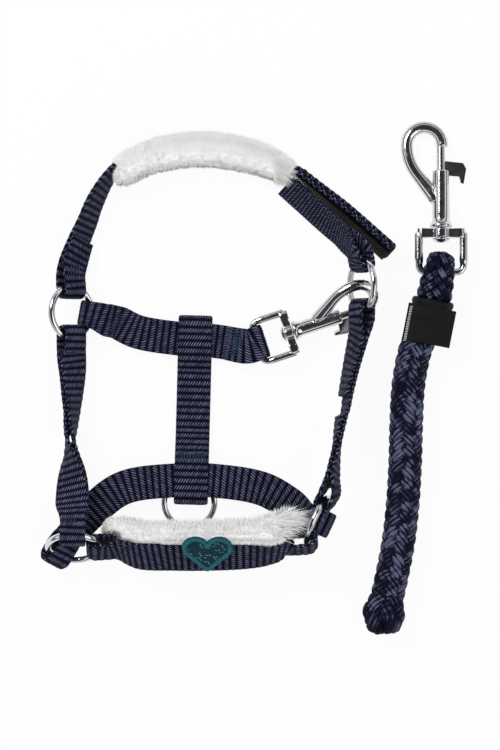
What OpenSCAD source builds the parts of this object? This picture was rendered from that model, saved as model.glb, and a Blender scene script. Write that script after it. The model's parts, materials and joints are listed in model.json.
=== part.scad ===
// Small webbing head halter with plush crown and noseband, laid flat, and its braided lead.
// Lengths are in millimetres. +Y runs from the noseband to the crown and +Z stands up from the table.

/* [Webbing] */
// Width of the halter webbing
web_w = 15.5; // [14:0.5:17]
// Thickness of one layer of webbing
web_t = 1.8; // [1.4:0.1:2]
// Depth of the rounded edge of the webbing
web_edge = 0.5; // [0.3:0.1:0.7]

/* [Head size] */
// Distance across the head between the upper rings
throat_span = 132; // [126:1:138]
// Distance across the muzzle between the lower rings
nose_span = 111; // [108:1:114]
// Distance from an upper ring down to the lower ring on the same cheek
cheek_drop = 107; // [102:1:112]
// Height of the crown arch above the upper left ring
crown_rise = 80; // [77:1:84]
// Height of the noseband arch above the table
nose_rise = 27; // [26:1:31]

/* [Rings] */
// Diameter of the ring wire
ring_wire = 3; // [2.5:0.1:3.2]
// Room between the webbing's edges and the inside of a ring
ring_slack = 4.5; // [4:0.5:6]
// Share of its width that webbing keeps where it bunches in a ring
gather = 0.75; // [0.65:0.05:0.8]

/* [Plush] */
// Thickness of the crown pad
crown_pad_t = 11.5; // [9:0.5:12]
// Height of the crown pad
crown_pad_h = 17; // [15:0.5:19]
// Thickness of the noseband pad
nose_pad_t = 12; // [10:0.5:13]
// Width of the noseband pad
nose_pad_w = 23; // [21:0.5:25]

/* [Closure] */
// Length of the crown tail
tail_len = 57; // [54:1:62]
// Thickness of the hook tape and of the loop tape
tape_t = 1.1; // [0.8:0.1:1.2]
// Width of the hook tape and of the loop tape
tape_w = 13; // [11:0.5:13.5]

/* [Heart patch] */
// Width of the heart patch
heart_w = 23; // [20:0.5:24]
// Thickness of the heart patch
heart_t = 1.2; // [1:0.1:1.6]
// Width of the stitched border round the heart
heart_border_w = 2.4; // [2:0.1:3]

/* [Bolt snap] */
// Diameter of the snap's barrel
barrel_d = 7.9; // [7.4:0.1:8.4]
// Length of the snap's barrel
barrel_len = 26.4; // [25:0.2:28]
// Diameter of the sliding bolt
bolt_d = 4; // [3.6:0.1:4.2]
// Radial clearance of the bolt in its bore and of the stud in the eye
run_gap = 0.05; // [0.03:0.01:0.08]
// Travel of the sliding bolt
bolt_travel = 8; // [6:0.5:8]
// Radius of the middle of the hook's bend
hook_r = 8.1; // [7.5:0.1:8.5]
// Diameter of the hook's limb
limb_d = 4.5; // [4:0.1:4.6]
// Room between the webbing's edges and the inside of the eye
eye_slack = 0.7; // [0.5:0.1:1.5]
// Diameter of the eye's bar
eye_bar_d = 3.4; // [3:0.1:3.6]
// Size of the throat snap as a share of the lead snap
throat_snap_k = 0.86; // [0.82:0.01:0.9]

/* [Lead] */
// Diameter of the lead rope
rope_d = 16; // [14:0.5:17]
// Thickness of the rope where it is folded through the eye
rope_fold_t = 6.4; // [5:0.2:6.6]
// Diameter of the knob at the rope's end
rope_knob_d = 19; // [17:0.5:20]
// Width of the bare label
label_w = 22; // [18:0.5:24]
// Height of the bare label
label_h = 19; // [16:0.5:22]
// Thickness of the label
label_t = 0.8; // [0.6:0.1:1]

/* [Hidden] */
$fn = 48;

// Colours
navy = [0.10, 0.11, 0.22];
nickel = [0.78, 0.79, 0.80];
plush_white = [0.93, 0.93, 0.91];
teal = [0.10, 0.39, 0.46];
deep_teal = [0.04, 0.24, 0.30];
label_black = [0.04, 0.04, 0.05];

// Clearances
lay_gap = 0.2;
loop_gap = 0.85;
part_gap = 0.4;
hinge_gap = 0.6;
floor_gap = 0.3;
chin_room = 1.5;

// Place of the layout, so that the middle of the halter stands over the origin
home = [-0.89, 0.776, 0];
module placed() translate(home) children();

// Vector helpers
function unit(v) = v / norm(v);
function xyz(v) = [v[0], v[1], v[2]];
function wide(v) = [v[3], v[4], v[5]];
function clamp(i, n) = max(0, min(n, i));
function ease(t) = let (s = max(0, min(1, t))) s * s * (3 - 2 * s);
function square_to(v, t) = unit(v - (v * t) * t);
function turned(v, a) = [v[0] * cos(a) - v[1] * sin(a), v[0] * sin(a) + v[1] * cos(a), v[2]];

// Smooth curve through a list of points, with a number of steps between each pair
function curve_at(a, b, c, d, t) =
    0.5 * (2 * b + (c - a) * t + (2 * a - 5 * b + 4 * c - d) * t * t + (3 * b - a - 3 * c + d) * t * t * t);
function curve(p, steps) =
    let (n = len(p) - 1)
    concat(
        [for (i = [0:n - 1]) for (j = [0:steps - 1])
            curve_at(p[clamp(i - 1, n)], p[i], p[i + 1], p[clamp(i + 2, n)], j / steps)],
        [p[n]]);

// Directions along a list of points
function along(p) =
    let (n = len(p) - 1)
    [for (i = [0:n]) unit(p[clamp(i + 1, n)] - p[clamp(i - 1, n)])];

// Closed skin over rings of points, each ring counted the same way round
module skin(rings) {
    m = len(rings[0]);
    n = len(rings) - 1;
    points = [for (r = rings) for (q = r) q];
    sides = [for (i = [0:n - 1]) for (j = [0:m - 1])
        let (a = i * m + j, b = i * m + (j + 1) % m, c = (i + 1) * m + (j + 1) % m, d = (i + 1) * m + j)
        each [[a, c, b], [a, d, c]]];
    first = [for (j = [1:m - 2]) [0, j, j + 1]];
    last = [for (j = [1:m - 2]) [n * m, n * m + j + 1, n * m + j]];
    polyhedron(points = points, faces = concat(sides, first, last), convexity = 8);
}

// Band of webbing along a path of [point, direction across the band], where a short direction gathers the band
module band(path, width, thick) {
    p = [for (s = path) s[0]];
    t = along(p);
    skin([for (i = [0:len(path) - 1])
        let (w = square_to(path[i][1], t[i]), n = cross(t[i], w) * thick / 2,
            half = width / 2 * norm(path[i][1]), flat = half - web_edge)
        [p[i] + w * half, p[i] + w * flat + n, p[i] - w * flat + n,
         p[i] - w * half, p[i] - w * flat - n, p[i] + w * flat - n]]);
}

// Strap along [x, y, z, across] points. An end may loop round a bar, with a tail folded back on side +1 or -1,
// and keeps a share of its width there.
function loop_share(d, reach) = 1 - ease((d - reach) / loop_run);
function loop_rise(d, loop, tail) = loop == 0 ? 0 :
    (loop - lay) * loop_share(d, loop * 1.4) + lay * (1 - ease((d - tail) / tail_run));
function strap_path(ctrl, steps, loop_a, tail_a, side_a, keep_a, loop_b, tail_b, side_b, keep_b) =
    let (
        s = curve(ctrl, steps),
        p = [for (q = s) xyz(q)],
        n = len(s) - 1,
        way = along(p),
        t = [for (i = [0:n]) i == 0 || i == n ? square_to(way[i], unit(wide(s[i]))) : way[i]],
        across = [for (i = [0:n]) square_to(wide(s[i]), t[i])],
        nrm = [for (i = [0:n]) cross(t[i], across[i])],
        w = [for (i = [0:n]) across[i] * (1
            - (1 - keep_a) * loop_share(norm(p[i] - p[0]), loop_a * 1.6)
            - (1 - keep_b) * loop_share(norm(p[i] - p[n]), loop_b * 1.6))],
        rise_a = [for (i = [0:n]) loop_rise(norm(p[i] - p[0]), loop_a, tail_a)],
        rise_b = [for (i = [0:n]) loop_rise(norm(p[i] - p[n]), loop_b, tail_b)],
        main = [for (i = [0:n]) p[i] - nrm[i] * (side_a * rise_a[i] + side_b * rise_b[i])],
        back_a = [for (i = [n:-1:1])
            if (loop_a > 0 && norm(p[i] - p[0]) < tail_a) [p[i] + nrm[i] * side_a * rise_a[i], w[i]]],
        turn_a = loop_a == 0 ? [[main[0], w[0]]] :
            [for (a = [90:22.5:270]) [p[0] + loop_a * (cos(a) * t[0] + sin(a) * side_a * nrm[0]), w[0]]],
        body = [for (i = [1:n - 1]) [main[i], w[i]]],
        turn_b = loop_b == 0 ? [[main[n], w[n]]] :
            [for (a = [-90:22.5:90]) [p[n] + loop_b * (cos(a) * t[n] + sin(a) * side_b * nrm[n]), w[n]]],
        back_b = [for (i = [n - 1:-1:0])
            if (loop_b > 0 && norm(p[i] - p[n]) < tail_b) [p[i] + nrm[i] * side_b * rise_b[i], w[i]]]
    )
    concat(back_a, turn_a, body, turn_b, back_b);

// Rings: a place, the flat direction in the ring, and the direction that rises
ring_r = (web_w + ring_slack + ring_wire) / 2;
ring_sag = ring_r - sqrt(ring_r * ring_r - pow(web_w * gather / 2, 2));
bar_loop = ring_wire / 2 + web_t / 2 + loop_gap;
cross_loop = bar_loop + ring_sag / 2;
lay = (web_t + lay_gap) / 2;
loop_run = 9;
approach = 9;
eye_approach = 5;
tail_run = 8;

function ring_point(r, a) = r[0] + ring_r * (cos(a) * r[1] + sin(a) * r[2]);
function ring_along(r, a) = -sin(a) * r[1] + cos(a) * r[2];
function lead_in(at, w, way, reach) = concat(at + square_to(way, w) * reach, w);
function ring_inside(r, a, d) = r[0] + (ring_r - d) * (cos(a) * r[1] + sin(a) * r[2]);

upper_y = 18;
right_lift = 12;
nose_shift = -9.5;
upper_left_tilt = 40;
upper_right_tilt = 63;
lower_left_tilt = 58;
lower_right_tilt = 78;
lower_right_turn = 65;

low_left_z = cross_loop + web_t / 2 + floor_gap + (ring_r - ring_sag / 2) * sin(upper_left_tilt);
upper_left = [[-throat_span / 2, upper_y, low_left_z],
    [0, 1, 0], [-cos(upper_left_tilt), 0, sin(upper_left_tilt)]];
upper_right = [[throat_span / 2, upper_y + right_lift, 18.5],
    [0, 1, 0], [cos(upper_right_tilt), 0, sin(upper_right_tilt)]];
lower_left = [[nose_shift - nose_span / 2, upper_y - cheek_drop, 14.8],
    [1, 0, 0], [0, cos(lower_left_tilt), sin(lower_left_tilt)]];
lower_right_flat = [cos(lower_right_turn), sin(lower_right_turn), 0];
lower_right_lean = [-sin(lower_right_turn), cos(lower_right_turn), 0] * cos(lower_right_tilt);
lower_right = [[nose_shift + nose_span / 2, upper_y + right_lift - cheek_drop, 17],
    lower_right_flat, lower_right_lean + [0, 0, sin(lower_right_tilt)]];
chin_low_z = ring_wire / 2 + floor_gap;
chin_top_z = web_t + 2 * part_gap + ring_wire / 2;
chin_tilt = asin((chin_top_z - chin_low_z) / (2 * ring_r));
chin_ring_place = [-12.5, -69, (chin_low_z + chin_top_z) / 2];
chin = [chin_ring_place, [1, 0, 0], [0, cos(chin_tilt), sin(chin_tilt)]];

module ring(r) {
    x = r[1];
    y = r[2];
    z = cross(x, y);
    color(nickel) placed()
    multmatrix([[x[0], y[0], z[0], r[0][0]], [x[1], y[1], z[1], r[0][1]], [x[2], y[2], z[2], r[0][2]], [0, 0, 0, 1]])
    rotate_extrude() translate([ring_r, 0]) circle(d = ring_wire);
}

module upper_left_ring() ring(upper_left);
module upper_right_ring() ring(upper_right);
module lower_left_ring() ring(lower_left);
module lower_right_ring() ring(lower_right);
module chin_ring() ring(chin);

// Crown: stands on its edge over the poll and lies down towards the upper left ring
edge_z = web_w / 2 + floor_gap;
crown_top = upper_y + crown_rise;
crown_left = ring_inside(upper_left, 0, ring_sag);
crown_end = [36, crown_top - 14, edge_z];
crown_route = [
    concat(crown_left, upper_left[2]),
    lead_in(crown_left, upper_left[2], [0, 1, 0], approach),
    [-61.5, upper_y + 33, 10, -0.58, 0.12, 0.8],
    [-55, upper_y + 51, 9, -0.4, 0.22, 0.89],
    [-46, crown_top - 14.5, edge_z, -0.18, 0.14, 0.97],
    [-35, crown_top - 5.5, edge_z, 0, 0, 1],
    [-21, crown_top - 1.2, edge_z, 0, 0, 1],
    [-5, crown_top, edge_z, 0, 0, 1],
    [11, crown_top - 2, edge_z, 0, 0, 1],
    [24.5, crown_top - 6.5, edge_z, 0, 0, 1],
    concat(crown_end, [0, 0, 1])];

module crown_strap()
    color(navy) placed() band(strap_path(crown_route, 4, bar_loop, 24, 1, gather, 0, 0, 1, 1), web_w, web_t);

// Crown pad: a crowned pad along the inner face of the crown strap
pad_sides = 14;
function pad_ring(at, out, up, thick, high, share) =
    [for (k = [0:pad_sides - 1])
        let (a = 360 * k / pad_sides, c = cos(a), s = sin(a))
        at + share * (out * thick / 2 * sign(c) * pow(abs(c), 0.75) - up * high / 2 * sign(s) * pow(abs(s), 0.75))];
function pad_swell(t) = pow(max(0.02, 1 - pow(abs(2 * t - 1), 10)), 0.5);

crown_fine = curve(crown_route, 5);
crown_pad_first = 18;
crown_pad_route = [for (i = [crown_pad_first:len(crown_fine) - 1]) crown_fine[i]];
module crown_plush() {
    p = [for (q = crown_pad_route) xyz(q)];
    t = along(p);
    n = len(p) - 1;
    set_in = web_t / 2 + lay_gap + crown_pad_t / 2;
    set_up = (crown_pad_h - web_w) / 2;
    color(plush_white) placed()
    skin([for (i = [0:n])
        let (up = square_to(wide(crown_pad_route[i]), t[i]), out = cross(t[i], up))
        pad_ring(p[i] + out * set_in + up * set_up, out, up, crown_pad_t, crown_pad_h, pad_swell(i / n))]);
}

// Closure: the crown's tail carries the hook tape and leans over the billet from the upper right ring
closure_turn = -42;
closure_along = [cos(closure_turn), sin(closure_turn), 0];
closure_out = [-sin(closure_turn), cos(closure_turn), 0];
tail_lean = 22;
tail_lean_run = 0.6;
tail_step = 0.03125;
tail_start = crown_end + closure_along * hinge_gap;
tail_end = tail_start + closure_along * tail_len;
tail_t = 2 * web_t + lay_gap;
function tail_turn(share) = tail_lean * (0.75 * ease(share / tail_lean_run) + 0.25 * share);
function tail_up(share) = [0, 0, 1] * cos(tail_turn(share)) + closure_out * sin(tail_turn(share));
function tail_at(share, inset) =
    let (up = tail_up(share), face = cross(closure_along, up))
    tail_start + closure_along * tail_len * share + face * inset;
module crown_tail()
    color(navy) placed() band([for (s = [0:tail_step:1]) [tail_at(s, 0), tail_up(s)]], web_w, tail_t);

hook_inset = tail_t / 2 + lay_gap + tape_t / 2;
module hook_tape()
    color(label_black) placed() band([for (s = [tail_step:tail_step:1]) [tail_at(s, hook_inset), tail_up(s)]], tape_w, tape_t);

billet_lean = 38;
billet_up = [0, 0, 1] * cos(billet_lean) + closure_out * sin(billet_lean);
billet_z = web_w / 2 * cos(billet_lean) + web_t / 2 + floor_gap;
billet_in = 9.2;
billet_rise = 6;
function billet_at(s, z) = [tail_start[0], tail_start[1], z] + closure_along * s - closure_out * billet_in;
billet_end = ring_inside(upper_right, 0, ring_sag);
billet_route = [
    concat(billet_at(1.5, billet_z), billet_up),
    concat(billet_at(14, billet_z), billet_up),
    concat(billet_at(27, billet_z + billet_rise / 4), billet_up),
    concat(billet_at(38, billet_z + billet_rise), unit(billet_up + upper_right[2])),
    lead_in(billet_end, upper_right[2], [-0.35, 1, 0], billet_rise),
    concat(billet_end, upper_right[2])];
module crown_billet()
    color(navy) placed() band(strap_path(billet_route, 5, 0, 0, -1, 1, bar_loop, 13, -1, gather), web_w, web_t);

loop_inset = web_t / 2 + lay_gap + tape_t / 2;
module loop_tape() {
    s = curve(billet_route, 5);
    tape_last = 10;
    p = [for (q = s) xyz(q)];
    t = along(p);
    color(navy) placed()
    band([for (i = [1:tape_last])
        let (w = square_to(wide(s[i]), t[i]))
        [p[i] - cross(t[i], w) * loop_inset, w]], tape_w, tape_t);
}

// Cheek straps: doubled webbing between an upper and a lower ring, sewn back on itself
left_cheek_top = ring_inside(upper_left, 180, ring_sag);
left_cheek_low = ring_inside(lower_left, 90, ring_sag / 2);
left_cheek_route = [
    concat(left_cheek_top, upper_left[2]),
    lead_in(left_cheek_top, upper_left[2], [0, -1, 0], approach),
    [-throat_span / 2 + 0.5, upper_y - 30, 12, -0.6, 0, 0.8],
    [-throat_span / 2, upper_y - 57, 13, 0, 0, 1],
    [-throat_span / 2 + 0.5, upper_y - 76, 16, 0.8, 0, 0.6],
    lead_in(left_cheek_low, [1, 0, 0], [0, 1, -0.1], approach),
    concat(left_cheek_low, [1, 0, 0])];
module left_cheek_strap()
    color(navy) placed() band(strap_path(left_cheek_route, 5, bar_loop, 48, -1, gather, cross_loop, 48, -1, gather), web_w, web_t);

right_cheek_top = ring_inside(upper_right, 180, ring_sag);
right_cheek_angle = 22;
right_cheek_low = ring_inside(lower_right, right_cheek_angle, ring_sag);
right_cheek_low_across = ring_along(lower_right, right_cheek_angle);
right_cheek_route = [
    concat(right_cheek_top, upper_right[2]),
    lead_in(right_cheek_top, upper_right[2], [-0.1, -1, 0], approach),
    [61, upper_y - 26, 16, 0.3, 0, 0.95],
    [56, upper_y - 52, 18, 0.1, 0, 1],
    lead_in(right_cheek_low, right_cheek_low_across, right_cheek_low - lower_right[0], approach),
    concat(right_cheek_low, right_cheek_low_across)];
module right_cheek_strap()
    color(navy) placed() band(strap_path(right_cheek_route, 6, bar_loop, 42, 1, gather, bar_loop, 42, 1, gather), web_w, web_t);

// Bolt snap frames: place of the barrel's foot, then the directions across, along and square to the hook
snap_turn = 18;
snap_roll = 35;
snap_along = [cos(snap_turn), sin(snap_turn), 0];
snap_side = [sin(snap_turn), -cos(snap_turn), 0];
throat_hook_across = snap_side * cos(snap_roll) - [0, 0, 1] * sin(snap_roll);
hook_hold = ring_point(upper_right, -129);
hook_centre = [-6.4, 34.5];
throat_foot = hook_hold - throat_snap_k * (hook_centre[0] * throat_hook_across + hook_centre[1] * snap_along);
throat_hook_frame = [throat_foot, throat_hook_across, snap_along];
throat_eye_frame = [throat_foot, snap_side, snap_along];

lead_turn = 90;
lead_dip = 5;
lead_flat = [cos(lead_turn), sin(lead_turn), 0];
lead_side = [sin(lead_turn), -cos(lead_turn), 0];
lead_along = lead_flat * cos(lead_dip) - [0, 0, 1] * sin(lead_dip);
lead_eye_z = rope_fold_t + eye_bar_d / 2 + loop_gap + floor_gap;
lead_eye_at = [102.4, 36.2, lead_eye_z];
eye_len = 20.3;
lead_foot = lead_eye_at + lead_along * eye_len;
lead_frame = [lead_foot, lead_side, lead_along];

module in_frame(f) {
    z = cross(f[1], f[2]);
    multmatrix([
        [f[1][0], f[2][0], z[0], f[0][0]],
        [f[1][1], f[2][1], z[1], f[0][1]],
        [f[1][2], f[2][2], z[2], f[0][2]],
        [0, 0, 0, 1]])
    children();
}

// Bolt snap pieces, drawn with the barrel along +Y from its foot and the hook towards -X
barrel_foot_d = barrel_d + 2.5;
bore_floor = 3;
bolt_low = 15;
bolt_top = barrel_len + 10.9;
hook_y = bolt_top + 0.8;
tip_x = 0.6;
hook_x = tip_x - hook_r;
sweep_r = 22;
sweep_turn = 38;
root_d = 6.2;
hook_sides = 16;
hook_steps = 7;
slot_w = 2.4;
slot_low = barrel_len - 3 - bolt_travel - 0.6;
thumb_low = barrel_len - 3;
thumb_high = barrel_len + 4.4;
thumb_reach = 11.6;
thumb_t = 2;
stud_d = 4;
stud_head_d = 8.2;
eye_top_t = 4;
eye_top_d = 6.6;

module along_y() rotate([-90, 0, 0]) children();

module snap_barrel() {
    along_y() rotate_extrude()
        polygon([[0, 0], [barrel_foot_d / 2 - 0.4, 0], [barrel_foot_d / 2, 0.5], [barrel_foot_d / 2, 1.3],
            [barrel_d / 2 + 0.5, 2.4], [barrel_d / 2, 4], [barrel_d / 2, barrel_len - 0.5],
            [barrel_d / 2 - 0.5, barrel_len], [0, barrel_len]]);
}

// Hook: one round limb swept from its tip over the bend and down into the barrel's side, thicker at the root
sweep_x = hook_x - hook_r + sweep_r;
sweep_end = [sweep_x - sweep_r * cos(sweep_turn), hook_y - sweep_r * sin(sweep_turn), 0];
root_len = (-barrel_d / 4 - sweep_end[0]) / sin(sweep_turn);
hook_route = concat(
    [[tip_x, bolt_top + part_gap, 0]],
    [for (a = [0:15:180]) [hook_x + hook_r * cos(a), hook_y + hook_r * sin(a), 0]],
    [for (k = [1:hook_steps])
        let (a = sweep_turn * k / hook_steps) [sweep_x - sweep_r * cos(a), hook_y - sweep_r * sin(a), 0]],
    [sweep_end + root_len * [sin(sweep_turn), -cos(sweep_turn), 0]]);
module snap_hook() {
    t = along(hook_route);
    n = len(hook_route) - 1;
    skin([for (i = [0:n])
        let (out = cross(t[i], [0, 0, 1]), r = (i == n ? root_d : limb_d) / 2)
        [for (k = [0:hook_sides - 1])
            hook_route[i] + r * (cos(360 * k / hook_sides) * out - sin(360 * k / hook_sides) * [0, 0, 1])]]);
}

module snap_body() {
    difference() {
        union() {
            snap_barrel();
            snap_hook();
        }
        translate([0, bore_floor, 0]) along_y() cylinder(d = bolt_d + 2 * run_gap, h = barrel_len);
        translate([0, slot_low, -slot_w / 2]) cube([barrel_d, barrel_len - slot_low + 1, slot_w]);
    }
}

module snap_bolt() {
    translate([0, bolt_low, 0]) along_y() cylinder(d = bolt_d, h = bolt_top - bolt_low);
    thumb_mid = (thumb_low + thumb_high) / 2;
    translate([0, 0, -thumb_t / 2]) linear_extrude(thumb_t)
        polygon([[0, thumb_low + 0.6], [thumb_reach - 3.4, thumb_low], [thumb_reach - 2.6, thumb_low - 3],
            [thumb_reach - 1.2, thumb_low - 3.4], [thumb_reach, thumb_mid], [thumb_reach - 1.5, thumb_high - 1],
            [0, thumb_high]]);
}

spring_turns = 6;
spring_wire = 0.5;
spring_rings = 8;
spring_sides = 6;
spring_r = bolt_d / 2 - run_gap - spring_wire / 2 - 0.15;
spring_low = bore_floor + spring_wire / 2 + 0.05;
spring_high = bolt_low - spring_wire / 2 - 0.05;
function spring_at(s) = [
    spring_r * cos(360 * spring_turns * s),
    spring_low + (spring_high - spring_low) * s,
    spring_r * sin(360 * spring_turns * s)];
module snap_spring() {
    n = spring_turns * spring_rings;
    p = [for (i = [0:n]) spring_at(i / n)];
    t = along(p);
    skin([for (i = [0:n])
        let (out = square_to([p[i][0], 0, p[i][2]], t[i]), up = cross(t[i], out))
        [for (k = [0:spring_sides - 1])
            p[i] + spring_wire / 2 * (cos(360 * k / spring_sides) * out + sin(360 * k / spring_sides) * up)]]);
}
spring_gap = (spring_high - spring_low) / spring_turns - spring_wire;
echo(spring_gap = spring_gap);

// Eye with a straight bar, a drilled head for the stud and limbs that splay a little
module snap_eye(inner_w, k) {
    bar_d = eye_bar_d * k;
    half = inner_w / 2 + bar_d / 2;
    corner = 3;
    head_y = -0.5 * k - eye_top_t * k;
    bar_y = -eye_len * k;
    limb_len = head_y + eye_top_t * k / 2 - bar_y - corner;
    difference() {
        union() {
            translate([0, head_y, 0]) along_y()
                linear_extrude(eye_top_t * k) square([2 * half - bar_d, eye_top_d * k * 0.72], center = true);
            translate([0, head_y, 0]) along_y() cylinder(d = eye_top_d * k * 1.25, h = eye_top_t * k);
            for (side = [-1, 1]) {
                translate([side * (half - bar_d / 2), head_y, 0]) along_y()
                    cylinder(d = eye_top_d * k * 0.72, h = eye_top_t * k);
                translate([side * half, bar_y + corner, 0]) along_y() cylinder(d = bar_d, h = limb_len);
                translate([side * (half - corner), bar_y + corner, 0])
                    rotate([0, 0, side > 0 ? 270 : 180]) rotate_extrude(angle = 90)
                    translate([corner, 0]) circle(d = bar_d);
            }
            translate([-half + corner, bar_y, 0]) rotate([0, 90, 0])
                cylinder(d = bar_d, h = 2 * (half - corner));
        }
        translate([0, head_y - 1, 0]) along_y()
            cylinder(d = stud_d * k + 2 * run_gap, h = eye_top_t * k + 2);
    }
}

module snap_stud() {
    head_y = -5;
    translate([0, head_y, 0]) along_y() cylinder(d = stud_d, h = -head_y);
    translate([0, head_y - 2, 0]) along_y() rotate_extrude()
        polygon([[0, 0], [1.6, 0.1], [3, 0.6], [stud_head_d / 2, 1.5], [stud_head_d / 2, 2], [0, 2]]);
}

throat_eye_w = web_w + eye_slack;
module throat_snap_body() color(nickel) placed() in_frame(throat_hook_frame) scale(throat_snap_k) snap_body();
module throat_snap_bolt() color(nickel) placed() in_frame(throat_hook_frame) scale(throat_snap_k) snap_bolt();
module throat_snap_spring() color(nickel) placed() in_frame(throat_hook_frame) scale(throat_snap_k) snap_spring();
module throat_snap_eye() color(nickel) placed() in_frame(throat_eye_frame) snap_eye(throat_eye_w, throat_snap_k);
module throat_snap_stud() color(nickel) placed() in_frame(throat_hook_frame) scale(throat_snap_k) snap_stud();

lead_eye_w = 17;
module lead_snap_body() color(nickel) placed() in_frame(lead_frame) snap_body();
module lead_snap_bolt() color(nickel) placed() in_frame(lead_frame) snap_bolt();
module lead_snap_spring() color(nickel) placed() in_frame(lead_frame) snap_spring();
module lead_snap_eye() color(nickel) placed() in_frame(lead_frame) snap_eye(lead_eye_w, 1);
module lead_snap_stud() color(nickel) placed() in_frame(lead_frame) snap_stud();

// Throat strap: from the upper left ring to the eye of the throat snap
throat_left_angle = -95.5;
throat_left_turn = -6;
throat_left = ring_inside(upper_left, throat_left_angle, ring_sag / 2);
throat_left_across = turned(ring_along(upper_left, throat_left_angle), throat_left_turn);
eye_loop = eye_bar_d * throat_snap_k / 2 + web_t / 2 + loop_gap;
throat_eye_at = throat_foot - snap_along * eye_len * throat_snap_k;
connect_x = -10;
throat_z = 2 * web_t + 2 * lay_gap;
throat_route = [
    concat(throat_left, throat_left_across),
    lead_in(throat_left, throat_left_across, [1, -0.25, 0], approach),
    [-36, upper_y - 9, 4.6, 0.1, 1, 0],
    [connect_x - 8, upper_y - 12, throat_z, 0.05, 1, 0],
    [connect_x + 9, upper_y - 13.2, throat_z, 0, 1, 0],
    lead_in(throat_eye_at, -snap_side, -snap_along, eye_approach),
    concat(throat_eye_at, -snap_side)];
module throat_strap()
    color(navy) placed() band(strap_path(throat_route, 5, cross_loop, 11, -1, gather, eye_loop, 16, 1, 1), web_w, web_t);

// Jaw strap: lies across under the noseband, between the lower rings
jaw_z = chin_top_z + ring_wire / 2 + chin_room + web_t / 2;
jaw_left_angle = 222;
jaw_right_angle = 270;
jaw_left = ring_inside(lower_left, jaw_left_angle, ring_sag / 2);
jaw_left_across = -ring_along(lower_left, jaw_left_angle);
jaw_right = ring_inside(lower_right, jaw_right_angle, ring_sag / 2);
jaw_route = [
    concat(jaw_left, jaw_left_across),
    lead_in(jaw_left, jaw_left_across, [0.7, 0.7, -0.1], approach),
    [-57, -73, 6, -0.6, 0.8, 0],
    [-42, -62, jaw_z - 0.5, -0.35, 0.94, 0],
    [-20, -58.8, jaw_z, -0.05, 1, 0],
    [0, -59, jaw_z, 0.05, 1, 0],
    [22, -63, jaw_z, 0.2, 0.98, 0],
    lead_in(jaw_right, lower_right_flat, [-0.9, 0.4, 0], approach),
    concat(jaw_right, lower_right_flat)];
module jaw_strap()
    color(navy) placed() band(strap_path(jaw_route, 5, cross_loop, 15, -1, gather, cross_loop, 11, -1, gather), web_w, web_t);

// Connecting strap: one flat loop of webbing that holds the throat strap, the jaw strap and the chin ring
connect_top = upper_y - 12.2 + web_w / 2 + part_gap + web_t;
connect_bottom = -58.8 - web_w / 2 - part_gap - web_t;
over_throat = throat_z + web_t / 2 + part_gap + web_t / 2;
over_jaw = jaw_z + web_t / 2 + part_gap + web_t / 2;
doubled_z = web_t * 1.5 + lay_gap;
connect_turn = -1.5;
function connect_upper() = [
    [connect_top, (over_throat + web_t / 2) / 2],
    [connect_top - 0.7, over_throat - 0.8],
    [connect_top - 2.2, over_throat],
    [connect_top - web_w - 2, over_throat],
    [connect_top - web_w - 9, doubled_z],
    [connect_bottom + web_w + 17, doubled_z],
    [connect_bottom + web_w + 5, over_jaw],
    [connect_bottom + 2.4, over_jaw],
    [connect_bottom + 0.7, over_jaw - 1],
    [connect_bottom, over_jaw - 3]];
function connect_lower() = [
    [connect_bottom, web_t / 2 + 2.4],
    [connect_bottom + 0.7, web_t / 2 + 0.7],
    [connect_bottom + 2.4, web_t / 2],
    [connect_top - 2.4, web_t / 2],
    [connect_top - 0.5, web_t / 2 + 0.8]];
function outline_side(p, d) =
    let (n = len(p))
    [for (i = [0:n - 1])
        let (a = p[(i + n - 1) % n], b = p[(i + 1) % n], t = unit(b - a)) p[i] + d * [t[1], -t[0]]];
module connecting_strap() {
    middle = concat(connect_upper(), connect_lower());
    color(navy) placed()
    translate([connect_x, 0, 0]) rotate([0, 0, connect_turn])
    translate([web_w / 2, 0, 0]) rotate([90, 0, -90]) mirror([1, 0, 0])
    linear_extrude(web_w)
    difference() {
        polygon(outline_side(middle, web_t / 2));
        polygon(outline_side(middle, -web_t / 2));
    }
}

// Noseband: arches over the muzzle with its upper edge raised
nose_y = -93;
nose_left = ring_inside(lower_left, 0, ring_sag);
nose_right_angle = 160;
nose_tail = 10;
nose_right = ring_inside(lower_right, nose_right_angle, ring_sag / 2);
nose_right_across = -ring_along(lower_right, nose_right_angle);
nose_route = [
    concat(nose_left, lower_left[2]),
    lead_in(nose_left, lower_left[2], [1, 0, 0], approach),
    [-36, nose_y + 0.3, nose_rise - 6, 0, 0.75, 0.65],
    [-20, nose_y, nose_rise - 1.5, 0, 0.8, 0.6],
    [-4, nose_y, nose_rise, 0, 0.8, 0.6],
    [14, nose_y + 0.5, nose_rise, 0, 0.75, 0.65],
    [26, nose_y + 1.5, nose_rise - 1.5, 0, 0.55, 0.8],
    lead_in(nose_right, nose_right_across, [-1, -0.15, 0], approach),
    concat(nose_right, nose_right_across)];
module nose_strap()
    color(navy) placed() band(strap_path(nose_route, 5, bar_loop, nose_tail, -1, gather, cross_loop, nose_tail, -1, gather), web_w, web_t);

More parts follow.
